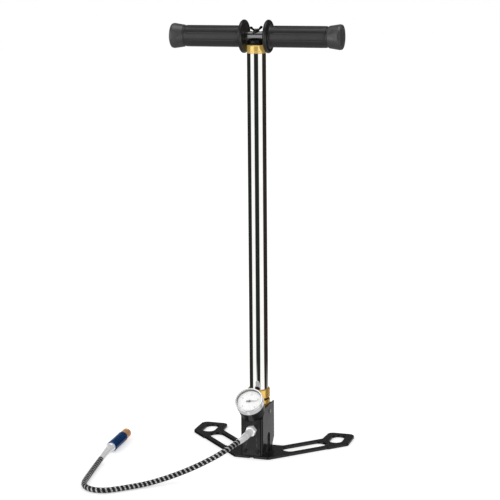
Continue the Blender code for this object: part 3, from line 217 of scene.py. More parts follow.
def plate(name, outlines, thickness, place, edge=0.0):
    """A flat piece, centred on its local Z = 0. The first outline is its edge, the others are holes."""
    curve = bpy.data.curves.new(name + "_outline", "CURVE")
    curve.dimensions = "2D"
    curve.fill_mode = "BOTH"
    curve.extrude = thickness / 2 - edge
    curve.bevel_depth = edge
    curve.bevel_resolution = 2
    curve.offset = -edge
    for outline in outlines:
        spline = curve.splines.new("POLY")
        spline.points.add(len(outline) - 1)
        for point, (x, y) in zip(spline.points, outline):
            point.co = (x, y, 0, 1)
        spline.use_cyclic_u = True
    source = bpy.data.objects.new(name + "_outline", curve)
    SCENE.collection.objects.link(source)
    made = final_mesh(source)
    bpy.data.objects.remove(source, do_unlink=True)

    def build(edit):
        edit.from_mesh(made)
        bmesh.ops.remove_doubles(edit, verts=edit.verts, dist=0.000002)
        bmesh.ops.transform(edit, matrix=place, verts=edit.verts)

    obj = mesh_object(name, build)
    bpy.data.meshes.remove(made)
    return obj


def final_mesh(obj):
    """The object's mesh with its modifiers applied."""
    bpy.context.view_layer.update()
    graph = bpy.context.evaluated_depsgraph_get()
    return bpy.data.meshes.new_from_object(obj.evaluated_get(graph))


def applied(obj, tools=()):
    """Makes the modifiers part of the mesh, and removes the tools that they used."""
    old = obj.data
    obj.data = final_mesh(obj)
    obj.modifiers.clear()
    bpy.data.meshes.remove(old)
    for tool in tools:
        bpy.data.objects.remove(tool, do_unlink=True)
    obj.data.name = obj.name
    return obj


def carved(obj, cuts=(), joins=(), edge=0.0, segments=2):
    """obj with the cuts taken away, the joins added, and then its hard edges softened."""
    for tools, operation in ((joins, "UNION"), (cuts, "DIFFERENCE")):
        for tool in tools:
            modifier = obj.modifiers.new(operation.title(), "BOOLEAN")
            modifier.operation = operation
            modifier.object = tool
    applied(obj, [*joins, *cuts])
    if edge:
        bevelled(obj, edge, segments)
    smooth(obj)
    weighted = obj.modifiers.new("Flat faces", "WEIGHTED_NORMAL")
    weighted.keep_sharp = False
    weighted.weight = 80
    return applied(obj)


def rod(name, radius, bottom, top, origin=(0, 0, 0), direction=(0, 0, 1), sides=48):
    profile = [(0, top), (radius, top), (radius, bottom), (0, bottom)]
    return lathe(name, profile, origin=origin, direction=direction, sides=sides)


def block(name, size, place):
    def build(edit):
        bmesh.ops.create_cube(edit, size=1, matrix=place @ Matrix.Diagonal((*size, 1)))

    return mesh_object(name, build)


def hexagon(flats, turned=0.0):
    radius = flats / 2 / math.cos(math.pi / 6)
    angles = [math.pi / 3 * i + turned for i in range(6)]
    return [(radius * math.cos(a), radius * math.sin(a)) for a in angles]


# ---------------------------------------------------------------- lines and what follows them


def smooth_line(route, steps=20):
    """Close points on a smooth curve (Catmull-Rom) through the route's points."""
    knots = [Vector(p) for p in route]
    knots = [2 * knots[0] - knots[1], *knots, 2 * knots[-1] - knots[-2]]
    line = []
    for a, b, c, d in zip(knots, knots[1:], knots[2:], knots[3:]):
        for k in range(steps):
            t = k / steps
            square = (2 * a - 5 * b + 4 * c - d) * t**2
            cube = (3 * b - a - 3 * c + d) * t**3
            line.append((2 * b + (c - a) * t + square + cube) / 2)
    return [*line, knots[-2]]


class Path:
    """A line with a frame at each distance along it that doesn't twist."""

    def __init__(self, line):
        self.line = line
        self.travelled = [0.0]
        for a, b in zip(line, line[1:]):
            self.travelled.append(self.travelled[-1] + (b - a).length)
        self.length = self.travelled[-1]
        forward = (line[1] - line[0]).normalized()
        side = forward.orthogonal().normalized()
        self.frames = []
        for i in range(len(line)):
            before, after = line[max(i - 1, 0)], line[min(i + 1, len(line) - 1)]
            forward = (after - before).normalized()
            side = (side - forward * side.dot(forward)).normalized()
            self.frames.append((side, forward.cross(side)))
        self.at = 0

    def point(self, distance, angle, radius):
        """The point at a distance along the line, an angle round it and a radius from it."""
        distance = min(max(distance, 0.0), self.length)
        while self.at > 0 and self.travelled[self.at] > distance:
            self.at -= 1
        while self.at < len(self.line) - 2 and self.travelled[self.at + 1] < distance:
            self.at += 1
        i = self.at
        share = (distance - self.travelled[i]) / (self.travelled[i + 1] - self.travelled[i])
        centre = self.line[i].lerp(self.line[i + 1], share)
        side = self.frames[i][0].lerp(self.frames[i + 1][0], share)
        other = self.frames[i][1].lerp(self.frames[i + 1][1], share)
        return centre + (side * math.cos(angle) + other * math.sin(angle)) * radius


def ring_on(edit, path, distance, radius, sides):
    angles = [2 * math.pi * i / sides for i in range(sides)]
    return [edit.verts.new(path.point(distance, angle, radius)) for angle in angles]


def sleeve_on(name, path, profile, sides=48):
    """A closed skin of (radius, distance) points round a path, closed on itself."""

    def build(edit):
        rings = [ring_on(edit, path, distance, radius, sides) for radius, distance in profile]
        skin(edit, rings, closed=True)

    return shaded(mesh_object(name, build))


def tube_on(name, path, radius, spacing=0.0015, sides=28):
    """A round bar along a path, with flat ends. Returns the piece and its centres."""
    count = round(path.length / spacing)
    stations = [path.length * i / count for i in range(count + 1)]

    def build(edit):
        skin(edit, [ring_on(edit, path, distance, radius, sides) for distance in stations], caps=True)

    obj = shaded(mesh_object(name, build))
    return obj, [path.point(distance, 0.0, 0.0) for distance in stations]


def strip_on(name, path, start, end, pitch, width, section, per_turn=28):
    """A flat strip wound round a path. section has (share of the width, radius) points."""
    turns = (end - start - width) / pitch
    count = round(turns * per_turn)

    def build(edit):
        rows = []
        for i in range(count + 1):
            angle = 2 * math.pi * turns * i / count
            middle = start + width / 2 + (end - start - width) * i / count
            rows.append([edit.verts.new(path.point(middle + a * width, angle, r)) for a, r in section])
        skin(edit, rows, caps=True)

    return shaded(mesh_object(name, build), 40)


# ---------------------------------------------------------------- materials


class Nodes:
    """A node tree, with helpers that add to it."""

    def __init__(self, tree):
        self.tree = tree

    def link(self, source, target):
        """Feeds an input from an output, or sets it to a number or a color."""
        if isinstance(source, tuple):
            target.default_value = (*source, 1)
        elif isinstance(source, (int, float)):
            target.default_value = source
        else:
            self.tree.links.new(source, target)

    def node(self, kind, **settings):
        made = self.tree.nodes.new(kind)
        for name, value in settings.items():
            setattr(made, name, value)
        return made

    def split(self, vector):
        """The X, Y and Z of a vector."""
        made = self.node("ShaderNodeSeparateXYZ")
        self.link(vector, made.inputs["Vector"])
        return [made.outputs[name] for name in "XYZ"]

    def math(self, operation, *values):
        made = self.node("ShaderNodeMath", operation=operation)
        for socket, value in zip(made.inputs, values):
            self.link(value, socket)
        return made.outputs["Value"]

    def ramp(self, source, *stops):
        made = self.node("ShaderNodeValToRGB")
        elements = made.color_ramp.elements
        while len(elements) < len(stops):
            elements.new(0.5)
        for element, (position, color) in zip(elements, stops):
            element.position = position
            element.color = (*color, 1)
        self.link(source, made.inputs["Fac"])
        return made.outputs["Color"]

    def mixed(self, factor, a, b):
        made = self.node("ShaderNodeMix", data_type="RGBA")
        for name, value in (("Factor", factor), ("A", a), ("B", b)):
            self.link(value, made.inputs[name])
        return made.outputs["Result"]


class Material(Nodes):
    """A Principled material with helpers for the nodes that vary it over the surface."""

    def __init__(self, name, **sockets):
        self.material = bpy.data.materials.new(name)
        self.material.use_nodes = True
        super().__init__(self.material.node_tree)
        self.shader = self.tree.nodes["Principled BSDF"]
        for socket, value in sockets.items():
            self.link(value, self.shader.inputs[socket.replace("_", " ")])
        self.place = self.node("ShaderNodeTexCoord").outputs["Object"]

    def noise(self, scale, detail=3.0, stretch=None):
        place = self.place
        if stretch:
            mapping = self.node("ShaderNodeMapping")
            mapping.inputs["Scale"].default_value = stretch
            self.link(place, mapping.inputs["Vector"])
            place = mapping.outputs["Vector"]
        made = self.node("ShaderNodeTexNoise")
        made.inputs["Scale"].default_value = scale
        made.inputs["Detail"].default_value = detail
        made.inputs["Roughness"].default_value = 0.55
        self.link(place, made.inputs["Vector"])
        return made.outputs["Fac"]

    def ranged(self, source, low, high, from_low=0.3, from_high=0.7):
        made = self.node("ShaderNodeMapRange")
        limits = {"From Min": from_low, "From Max": from_high, "To Min": low, "To Max": high, "Value": source}
        for name, value in limits.items():
            self.link(value, made.inputs[name])
        return made.outputs["Result"]

    def edges(self, low=0.53, high=0.60):
        """1 along convex edges and 0 elsewhere, broken up by noise."""
        geometry = self.node("ShaderNodeNewGeometry")
        found = self.ranged(geometry.outputs["Pointiness"], 0.0, 1.0, low, high)
        return self.math("MULTIPLY", found, self.ranged(self.noise(260, 4), 0.0, 1.0, 0.42, 0.62))

    def color(self, source):
        self.link(source, self.shader.inputs["Base Color"])

    def rough(self, source, low, high):
        self.link(self.ranged(source, low, high), self.shader.inputs["Roughness"])

    def bump(self, source, strength, distance):
        made = self.node("ShaderNodeBump")
        made.inputs["Strength"].default_value = strength
        made.inputs["Distance"].default_value = distance
        self.link(source, made.inputs["Height"])
        last = self.shader.inputs["Normal"]
        if last.is_linked:
            self.link(last.links[0].from_socket, made.inputs["Normal"])
        self.link(made.outputs["Normal"], last)


def grey(value):
    return (value, value, value)


def coated_black(name, low, high, wear, roughness, specular=0.5):
    """Black powder coat: a faint orange peel, dust-soft variation and rubbed edges."""
    made = Material(name, Metallic=0.0, Specular_IOR_Level=specular)
    base = made.ramp(made.noise(38, 4), (0.30, grey(low)), (0.72, grey(high)))
    made.color(made.mixed(made.edges(), base, grey(wear)))
    made.rough(made.noise(90, 5), *roughness)
    made.bump(made.noise(1500, 2), 0.16, 0.00025)
    made.bump(made.noise(420, 3), 0.10, 0.0004)
    return made.material


def metal(name, dark, light, roughness, stretch, streak=0.12, bump=0.05, metallic=1.0, painted_glow=None):
    """Bare or plated metal, with a turned or drawn grain along the stretch. The last argument paints light:
    an emission that lightens the metal's shaded sides.
    """
    made = Material(name, Metallic=metallic)
    # Painted light: the metal glows faintly, which lightens its shaded sides.
    if painted_glow:
        made.link(painted_glow, made.shader.inputs["Emission Color"])
        made.link(1.0, made.shader.inputs["Emission Strength"])
    made.color(made.ramp(made.noise(60, 3), (0.30, dark), (0.70, light)))
    grain = made.noise(500, 3, stretch)
    made.rough(grain, *roughness)
    made.bump(grain, streak, 0.00006)
    made.bump(made.noise(900, 2), bump, 0.0001)
    return made.material


RINGS_Z = (0.25, 0.25, 9)
RINGS_X = (9, 0.25, 0.25)
RINGS_Y = (0.25, 9, 0.25)

BLACK_SHEET = coated_black("black_sheet", 0.006, 0.011, 0.07, (0.13, 0.22), 0.38)
PLATE_BLACK = coated_black("plate_black", 0.004, 0.008, 0.05, (0.15, 0.26), 0.42)
BLACK_ALLOY = coated_black("black_alloy", 0.006, 0.010, 0.08, (0.30, 0.42))
GAUGE_BLACK = coated_black("gauge_black", 0.007, 0.012, 0.06, (0.22, 0.34))
BAR_BLACK = metal("bar_black", grey(0.26), grey(0.34), (0.16, 0.24), RINGS_X, 0.06)
CHROME = metal("chrome", grey(0.86), grey(0.91), (0.025, 0.035), (6, 6, 0.12), 0.0, bump=0.0)
# PLATED and BEZEL_CHROME glow faintly: painted light that lightens their shaded sides.
PLATED = metal(
    "plated", grey(0.90), grey(0.98), (0.12, 0.20), RINGS_Y, 0.06, metallic=0.72, painted_glow=grey(0.27)
)
BEZEL_CHROME = metal(
    "bezel_chrome", grey(0.90), grey(0.96), (0.07, 0.11), (2, 2, 2), 0.04, metallic=0.8, painted_glow=grey(0.22)
)
STRIP_STEEL = metal("strip_steel", grey(0.64), grey(0.88), (0.22, 0.36), (2, 2, 2), 0.08, metallic=0.75)
STEEL = metal("steel", grey(0.60), grey(0.76), (0.20, 0.34), RINGS_Z, metallic=0.7)
DARK_STEEL = metal("dark_steel", grey(0.10), grey(0.17), (0.30, 0.45), RINGS_Z)
# BRASS, TIP_BRASS and GLAND_BRASS glow faintly too: painted light, strongest on the gland, which sits in
# shade under the grips.
BRASS = metal(
    "brass", (0.92, 0.54, 0.10), (1.0, 0.66, 0.18), (0.20, 0.32), RINGS_Z, metallic=0.8,
    painted_glow=(0.06, 0.035, 0.006),
)
TIP_BRASS = metal(
    "tip_brass", (0.84, 0.42, 0.18), (0.94, 0.54, 0.28), (0.14, 0.24), RINGS_Y, 0.14, metallic=0.7,
    painted_glow=(0.10, 0.05, 0.02),
)
GLAND_BRASS = metal(
    "gland_brass", (0.98, 0.68, 0.20), (1.0, 0.80, 0.34), (0.16, 0.28), RINGS_Z, 0.10, metallic=0.6,
    painted_glow=(0.20, 0.13, 0.03),
)
BRONZE = metal("bronze", (0.36, 0.22, 0.10), (0.46, 0.30, 0.15), (0.30, 0.42), RINGS_Z)


def blue_anodised():
    made = Material("blue_anodised", Metallic=0.75)
    base = made.ramp(made.noise(45, 3), (0.3, (0.002, 0.070, 0.270)), (0.7, (0.004, 0.095, 0.350)))
    made.color(made.mixed(made.edges(0.52, 0.58), base, (0.10, 0.30, 0.66)))
    grain = made.noise(500, 3, RINGS_Y)
    made.rough(grain, 0.20, 0.34)
    made.bump(grain, 0.10, 0.00006)
    return made.material


def moulded_rubber(name, low, high, roughness, stretch=(1, 1, 1), grain=0.25, specular=0.45):
    """Soft-touch rubber: matt, with fine grain and long faint streaks from the mould."""
    made = Material(name, Metallic=0.0, Specular_IOR_Level=specular)
    streaks = made.noise(55, 4, stretch)
    made.color(made.ramp(streaks, (0.32, grey(low)), (0.70, grey(high))))
    made.rough(made.noise(70, 4), *roughness)
    made.bump(made.noise(1100, 3), grain, 0.00018)
    made.bump(streaks, 0.08, 0.0005)
    return made


def grip_rubber():
    """The grips' rubber, with flared ends of a lighter grey than the barrel, and darker hand stops."""
    made = moulded_rubber("grip_rubber", 0.012, 0.024, (0.30, 0.42), (0.12, 2.2, 2.2), 0.30, 0.95)
    barrel = made.shader.inputs["Base Color"].links[0].from_socket
    distance = made.math("ABSOLUTE", made.split(made.place)[0])
    outside = made.ranged(distance, 0.0, 1.0, 0.1072, 0.1100)
    patchy = made.math("MULTIPLY", outside, made.ranged(made.noise(150, 4, (1, 1, 1)), 0.35, 1.0))
    colored = made.mixed(patchy, barrel, grey(0.085))
    flange = made.ranged(distance, 1.0, 0.0, 0.0216, 0.0228)
    made.color(made.mixed(flange, colored, grey(0.006)))
    return made.material


GRIP_RUBBER = grip_rubber()
HOSE_RUBBER = moulded_rubber("hose_rubber", 0.006, 0.012, (0.34, 0.48), grain=0.12).material
SEAL_RUBBER = moulded_rubber("seal_rubber", 0.010, 0.016, (0.45, 0.60), grain=0.15).material
NYLON = moulded_rubber("nylon", 0.55, 0.68, (0.40, 0.52), grain=0.08).material
BLUE = blue_anodised()


def dial_paper():
    # Painted light: the dial paper glows of its own, which keeps it bright behind the glass.
    made = Material("dial_white", Metallic=0.0, Emission_Color=grey(1), Emission_Strength=0.20)
    made.color(made.ramp(made.noise(120, 3), (0.3, grey(0.92)), (0.7, (0.97, 0.97, 0.96))))
    made.rough(made.noise(300, 2), 0.45, 0.6)
    made.bump(made.noise(1400, 2), 0.05, 0.0001)
    return made.material


def ink(name, low, high):
    made = Material(name, Metallic=0.0)
    made.color(made.ramp(made.noise(400, 2), (0.3, grey(low)), (0.7, grey(high))))
    made.rough(made.noise(300, 2), 0.4, 0.55)
    return made.material


def clear_glass():
    made = Material("clear_glass", Metallic=0.0, IOR=1.45, Alpha=0.10)
    made.color(made.ramp(made.noise(60, 2), (0.3, (0.97, 0.98, 0.98)), (0.7, (1, 1, 1))))
    made.rough(made.noise(80, 3), 0.0, 0.02)
    return made.material


DIAL = dial_paper()
DIAL_INK = ink("dial_ink", 0.22, 0.30)
NEEDLE_INK = ink("needle_ink", 0.035, 0.06)
GLASS = clear_glass()

# ---------------------------------------------------------------- hose and its fittings

HOSE_PORT_Z = 0.043
FITTING_BORE = 0.0015
HEX_SEAT = -0.0380
HEX_LENGTH = 0.0085
FERRULE_LENGTH = 0.025
FERRULE_END = -0.0718
HOSE_RADIUS = 0.0040
ARMOUR_PITCH = 0.0066
ARMOUR_WIDTH = 0.0024
GUARD_LENGTH = 0.0215
END_GUARD_LENGTH = 0.034
END_FERRULE_LENGTH = 0.016
COUPLER_LENGTH = 0.052
SLEEVE_TRAVEL = 0.003
SLEEVE_LENGTH = 0.017
COUPLER_TIP = Vector((-0.2163, 0.001, 0.0082))
COUPLER_DIRECTION = Vector((-0.047, 1.0, 0.0)).normalized()
COUPLER_TOTAL = COUPLER_LENGTH + SLEEVE_LENGTH + SLEEVE_TRAVEL + GAP
COUPLER_START = COUPLER_TIP - COUPLER_DIRECTION * COUPLER_TOTAL
END_FERRULE_START = COUPLER_START - COUPLER_DIRECTION * (GAP + END_FERRULE_LENGTH)
HOSE_START = Vector((0, FERRULE_END - GAP, HOSE_PORT_Z))
HOSE_ROUTE = (
    (-0.0009, -0.0835, 0.0426), (-0.0046, -0.0960, 0.0414), (-0.0130, -0.1165, 0.0370),
    (-0.0265, -0.1360, 0.0303), (-0.0420, -0.1510, 0.0235), (-0.0580, -0.1637, 0.0172),
    (-0.0740, -0.1755, 0.0120), (-0.0895, -0.1872, 0.0080), (-0.1045, -0.1993, 0.0053),
    (-0.1187, -0.2115, 0.0043), (-0.1310, -0.2225, 0.0042), (-0.1412, -0.2315, 0.0042),
    (-0.1525, -0.2390, 0.0042), (-0.1660, -0.2417, 0.0042), (-0.1790, -0.2380, 0.0042),
    (-0.1888, -0.2290, 0.0042), (-0.1944, -0.2165, 0.0042), (-0.1977, -0.2010, 0.0042),
    (-0.2012, -0.1800, 0.0042), (-0.2050, -0.1560, 0.0043), (-0.2080, -0.1330, 0.0052),
    (-0.2100, -0.1120, 0.0068), (-0.2110, -0.1000, 0.0078),
)


def hose():
    """The hose with its armour strip, its two guards, the end ferrule and the coupler."""
    path = Path(smooth_line([HOSE_START, *HOSE_ROUTE, END_FERRULE_START - COUPLER_DIRECTION * GAP]))
    core = HOSE_RADIUS - 0.00018
    tube, centres = tube_on("hose_tube", path, core)
    piece(tube, "base", "hose", HOSE_RUBBER, "hose")
    foot = core - 0.00004
    section = ((-0.5, foot), (-0.42, 0.00405), (0.0, 0.00416), (0.42, 0.00405), (0.5, foot))
    first, last = GUARD_LENGTH + 0.0004, path.length - END_GUARD_LENGTH - 0.0004
    armour = strip_on("hose_armour", path, first, last, ARMOUR_PITCH, ARMOUR_WIDTH, section)
    piece(armour, "base", "steel", STRIP_STEEL)
    near = guard("guard_near", path, 0.0, GUARD_LENGTH, True)
    piece(near, "base", "steel", PLATED, "hose_guard")
    far = guard("guard_far", path, path.length - END_GUARD_LENGTH, path.length, False)
    piece(far, "base", "steel", PLATED, "end_guard")
    fitted = [armour, near, far, *end_fittings()]


def guard(name, path, start, end, widest_first):
    """A drawn steel sleeve on the hose, tapered towards the hose, with a rolled end."""
    rolled = [(0.985, 0.00445), (1.0, 0.0043)]
    if widest_first:
        outer = [(0.0, 0.0050), (0.25, 0.0049), (0.6, 0.0046), (0.94, 0.00435), *rolled]
    else:
        outer = [(0.0, 0.0052), (0.15, 0.0050), (0.5, 0.0046), (0.93, 0.00435), *rolled]
    filled = []
    for share in [*[i / 28 for i in range(28)], 0.985, 1.0]:
        for (a, low), (b, high) in zip(outer, outer[1:]):
            if a <= share <= b:
                filled.append((low + (high - low) * (share - a) / (b - a), share))
                break
    bore = HOSE_RADIUS - 0.0001
    profile = filled + [(bore, share) for _, share in reversed(filled)]
    wide_end, span = (start, end - start) if widest_first else (end, start - end)
    return sleeve_on(name, path, [(radius, wide_end + span * share) for radius, share in profile])


def ferrule(name, origin, direction, outer, length):
    """A crimped ferrule. Local Z runs from the fitting to the hose; outer has (share, radius, rounding)."""
    corners = [(radius, length * share, rounding) for share, radius, rounding in outer]
    corners = [(FITTING_BORE, 0), *corners, (FITTING_BORE, length)]
    return lathe(name, soft(corners, closed=True), origin=origin, direction=direction, closed=True)


def end_fittings():
    """What is on the hose's far end: ferrule, blue coupler body and its brass sleeve."""
    cone = (
        (0.0, 0.0068, 0.0004), (0.10, 0.0071, 0.0003), (0.30, 0.0071, 0.0004),
        (0.36, 0.0064, 0.0006), (0.80, 0.0055, 0.0010), (1.0, 0.0054, 0.0004),
    )
    start = END_FERRULE_START + COUPLER_DIRECTION * END_FERRULE_LENGTH
    end = ferrule("ferrule_far", start, -COUPLER_DIRECTION, cone, END_FERRULE_LENGTH)
    piece(end, "base", "chrome", PLATED, "end_ferrule")

    def fluted(angle, radius, height):
        if radius < 0.0070 or not 0.004 < height < COUPLER_LENGTH - 0.006:
            return radius
        return radius - 0.00022 * (0.5 - 0.5 * math.cos(12 * angle)) ** 2

    length = COUPLER_LENGTH
    corners = [
        (FITTING_BORE, 0, 0), (0.0070, 0, 0.0004), (0.0080, 0.0018, 0.0006), (0.0080, 0.0040, 0),
        (0.0080, 0.0042, 0), (0.0080, length / 2, 0), (0.0080, length - 0.0062, 0),
        (0.0080, length - 0.0060, 0), (0.0080, length - 0.0046, 0.0002),
        (0.0074, length - 0.0042, 0.0002), (0.0074, length - 0.0034, 0.0002),
        (0.0080, length - 0.0030, 0.0002), (0.0080, length - 0.0008, 0.0006),
        (0.0072, length, 0.0003), (0.0042, length, 0.0002), (0.0042, COUPLER_TOTAL, 0.0004),
        (FITTING_BORE, COUPLER_TOTAL, 0),
    ]
    place = {"origin": COUPLER_START, "direction": COUPLER_DIRECTION, "closed": True}
    body = lathe("coupler", soft(corners, closed=True, steps=3), sides=144, shape=fluted, **place)
    piece(body, "base", "blue_alloy", BLUE, "coupler_body")

    def knurled(angle, radius, height):
        if radius < 0.0070:
            return radius
        return radius - 0.00012 * abs(math.sin(24 * angle))

    front = COUPLER_LENGTH + GAP + SLEEVE_TRAVEL
    corners = [
        (0.0046, front, 0.0003), (0.0066, front, 0.0008), (0.0072, front + 0.0020, 0.0006),
        (0.0072, front + 0.0105, 0.0003), (0.0065, front + 0.0112, 0.0003),
        (0.0065, front + 0.0124, 0.0003), (0.0072, front + 0.0132, 0.0004),
        (0.0072, front + 0.0155, 0.0008), (0.0062, front + SLEEVE_LENGTH, 0.0005),
        (0.0046, front + SLEEVE_LENGTH, 0.0003),
    ]
    sleeve = lathe("coupler_ring", soft(corners, closed=True), sides=192, shape=knurled, **place)
    piece(sleeve, "coupler_sleeve", "brass", TIP_BRASS, "coupler_sleeve")
    return [end, body, sleeve]


def pump_fitting():
    """The hexagon in the valve block, and the rigid ferrule on it."""
    facing = placing((0, HEX_SEAT - HEX_LENGTH / 2, HOSE_PORT_Z), -Y_AXIS)
    nut = plate("fitting_hex", [hexagon(0.014, math.radians(10))], HEX_LENGTH, facing)
    chamfer = [(0.0, HEX_LENGTH), (0.0068, HEX_LENGTH), (0.0084, 0.0073), (0.0084, -0.001), (0.0, -0.001)]
    seat = (0, HEX_SEAT, HOSE_PORT_Z)
    shape = lathe("fitting_chamfer", chamfer, origin=seat, direction=-Y_AXIS)
    stub = rod("fitting_thread", 0.0047, -0.0095, 0.004, seat, -Y_AXIS)
    bore = rod("fitting_hole", FITTING_BORE, -0.03, 0.03, seat, -Y_AXIS, 24)
    modifier = nut.modifiers.new("Chamfer", "BOOLEAN")
    modifier.operation = "INTERSECT"
    modifier.object = shape
    applied(nut, [shape])
    carved(nut, cuts=[bore], joins=[stub], edge=0.00025)
    piece(nut, "base", "chrome", PLATED, "hose_fitting")
    outer = (
        (0.0, 0.0058, 0.0004), (0.16, 0.0058, 0.0003), (0.20, 0.0052, 0.0004),
        (0.32, 0.0052, 0.0004), (0.37, 0.0054, 0.0006), (0.93, 0.0054, 0.0006),
        (1.0, 0.0051, 0.0003),
    )
    start = (0, HEX_SEAT - HEX_LENGTH - GAP, HOSE_PORT_Z)
    near = ferrule("ferrule_near", start, -Y_AXIS, outer, FERRULE_LENGTH)
    piece(near, "base", "chrome", PLATED, "hose_ferrule")


# ---------------------------------------------------------------- foot plate

PLATE_THICKNESS = 0.004
PLATE_FRONT = -0.041
PLATE_FRONT_HALF = 0.0265
ARM_WIDTH = 0.0392
ARM_STRIP = 0.0082
SLOT_START = 0.026
SLOT_LENGTH = 0.073
RING_OUTER_X = 0.125
RING_INNER_X = 0.081
RING_BACK_Y = 0.102
RING_OUTER_FRONT_Y = 0.0495
RING_STEP = 0.0015
RING_HOLE = (0.020, 0.038)
NOTCH_RADIUS = 0.0035
PLATE_SCREW_RADIUS = 0.0024
PLATE_SCREW_HEAD = 0.0047
PLATE_SCREWS = [(side * 0.0092, y) for side in (-1, 1) for y in (-0.0265, 0.0105)]
DOWN_ARM = Vector((1, 1)) / math.sqrt(2)
SQUARE_TO_ARM = Vector((1, -1)) / math.sqrt(2)


def mirrored(outline):
    return [(-x, y) for x, y in reversed(outline)]


def arm_slot():
    half = ARM_WIDTH / 2 - ARM_STRIP
    middle = SQUARE_TO_ARM * ((PLATE_FRONT_HALF - PLATE_FRONT) / math.sqrt(2) - ARM_WIDTH / 2)
    corners = []
    for along, across in ((0, half), (SLOT_LENGTH, half), (SLOT_LENGTH, -half), (0, -half)):
        point = DOWN_ARM * (SLOT_START + along) + SQUARE_TO_ARM * across + middle
        corners.append((point.x, point.y, half * 0.98))
    return rounded(corners, 12)


def ring_hole():
    half_width, half_length = RING_HOLE[0] / 2, RING_HOLE[1] / 2
    x = (RING_INNER_X + RING_OUTER_X) / 2
    y = (RING_BACK_Y + RING_OUTER_FRONT_Y) / 2 - 0.0025
    corners = [
        (x + side * half_width, y + end * half_length, half_width * 0.98)
        for side, end in ((-1, -1), (1, -1), (1, 1), (-1, 1))
    ]
    return rounded(corners, 12)


def plate_outline():
    front = PLATE_FRONT_HALF - PLATE_FRONT
    rear = front - ARM_WIDTH * math.sqrt(2)
    step = RING_STEP * math.sqrt(2)
    step_x = (RING_OUTER_X + RING_INNER_X) / 2 - 0.003
    half = [
        (PLATE_FRONT_HALF, PLATE_FRONT, 0.006), (step_x - 0.0015, step_x - 0.0015 - front, 0.001),
        (step_x + 0.0005, step_x + 0.0005 - front - step, 0.001),
        (RING_OUTER_X, RING_OUTER_X - front - step, 0.008), (RING_OUTER_X, RING_BACK_Y, 0.010),
        (RING_INNER_X + 0.002, RING_BACK_Y, 0.009), (RING_INNER_X, RING_INNER_X - rear, 0.0015),
        (rear + 0.0195, 0.0195, 0.008),
    ]
    other = [(-x, y, radius) for x, y, radius in reversed(half)]
    steps = 8
    turns = [math.pi * (1 - i / 16) for i in range(17)]
    notch = [(NOTCH_RADIUS * math.cos(a), PLATE_FRONT + NOTCH_RADIUS * math.sin(a)) for a in turns]
    outline = rounded(other + half, steps)
    split = len(other) * (steps + 1)
    return outline[:split] + notch + outline[split:]


def foot_plate():
    holes = [arm_slot(), mirrored(arm_slot()), ring_hole(), mirrored(ring_hole())]
    obj = plate(
        "foot_plate_fine",
        [plate_outline(), *holes],
        PLATE_THICKNESS,
        Matrix.Translation((0, 0, PLATE_THICKNESS / 2)),
        edge=0.0005,
    )
    cuts = []
    head = PLATE_SCREW_HEAD - PLATE_SCREW_RADIUS
    for x, y in PLATE_SCREWS:
        profile = [
            (0, 0.008), (PLATE_SCREW_RADIUS + GAP, 0.008), (PLATE_SCREW_RADIUS + GAP, head + GAP),
            (PLATE_SCREW_HEAD + GAP, GAP), (PLATE_SCREW_HEAD + GAP, -0.004), (0, -0.004),
        ]
        cuts.append(lathe("plate_screw_hole", profile, origin=(x, y, 0), sides=40))
    carved(obj, cuts=cuts)
    piece(obj, "base", "black_sheet", PLATE_BLACK, "foot_plate")
    for number, (x, y) in enumerate(PLATE_SCREWS, 1):
        plate_screw(number, x, y, head)


def plate_screw(number, x, y, head):
    corners = [
        (0, 0.018), (PLATE_SCREW_RADIUS, 0.018, 0.0004), (PLATE_SCREW_RADIUS, head + GAP, 0.0003),
        (PLATE_SCREW_HEAD, GAP, 0.0001), (0, GAP),
    ]
    screw = lathe(f"plate_screw_fine_{number}", soft(corners), origin=(x, y, 0), sides=48)
    socket = plate("plate_screw_socket", [hexagon(0.0026)], 0.004, Matrix.Translation((x, y, GAP)))
    carved(screw, cuts=[socket], edge=0.0001, segments=1)
    piece(screw, "base", "dark_steel", DARK_STEEL, f"plate_screw_{number}")


# ---------------------------------------------------------------- housing and valve block

SHEET = 0.0015
BLOCK_HALF = 0.0152
BLOCK_FRONT = -0.0377
BLOCK_BOTTOM = PLATE_THICKNESS + GAP
HOUSING_HALF = BLOCK_HALF + GAP + SHEET
HOUSING_FRONT = BLOCK_FRONT - GAP - SHEET
HOUSING_BACK = 0.022
HOUSING_TOP = 0.074
HOUSING_CORNER = 0.004
SIDE_SCREW_Z = 0.0632
FRONT_SCREW_X = 0.0098
FRONT_SCREW_Z = 0.0108
SCREW_HOLE_RADIUS = 0.0023
SCREW_TOP = 0.0019
GAUGE_TILT = math.radians(50)
GAUGE_FRONT = Vector((0.0, -0.0506, 0.0943))
GAUGE_IN = Vector((0, math.cos(GAUGE_TILT), -math.sin(GAUGE_TILT)))
CASE_BACK = 0.0303
STEM_HEX_HEIGHT = 0.005


def gauge_point(depth):
    return GAUGE_FRONT + GAUGE_IN * depth


def slope_cutter(depth):
    reach = 0.09
    place = placing(gauge_point(depth - reach / 2), -GAUGE_IN)
    return block("gauge_slope", (2 * reach, 2 * reach, reach), place)


def corner_arc(side, radius, half, front, steps=12):
    centre = Vector((side * (half - radius), front + radius))
    first = math.pi if side < 0 else 1.5 * math.pi
    turns = [first + math.pi / 2 * i / steps for i in range(steps + 1)]
    return [tuple(centre + radius * Vector((math.cos(a), math.sin(a)))) for a in turns]


def sideways(outline, name):
    """A cutter right through the housing from side to side, from an outline in Y and Z."""
    place = Matrix.Rotation(math.pi / 2, 4, "Z") @ Matrix.Rotation(math.pi / 2, 4, "X")
    return plate(name, [outline], 4 * HOUSING_HALF, place)


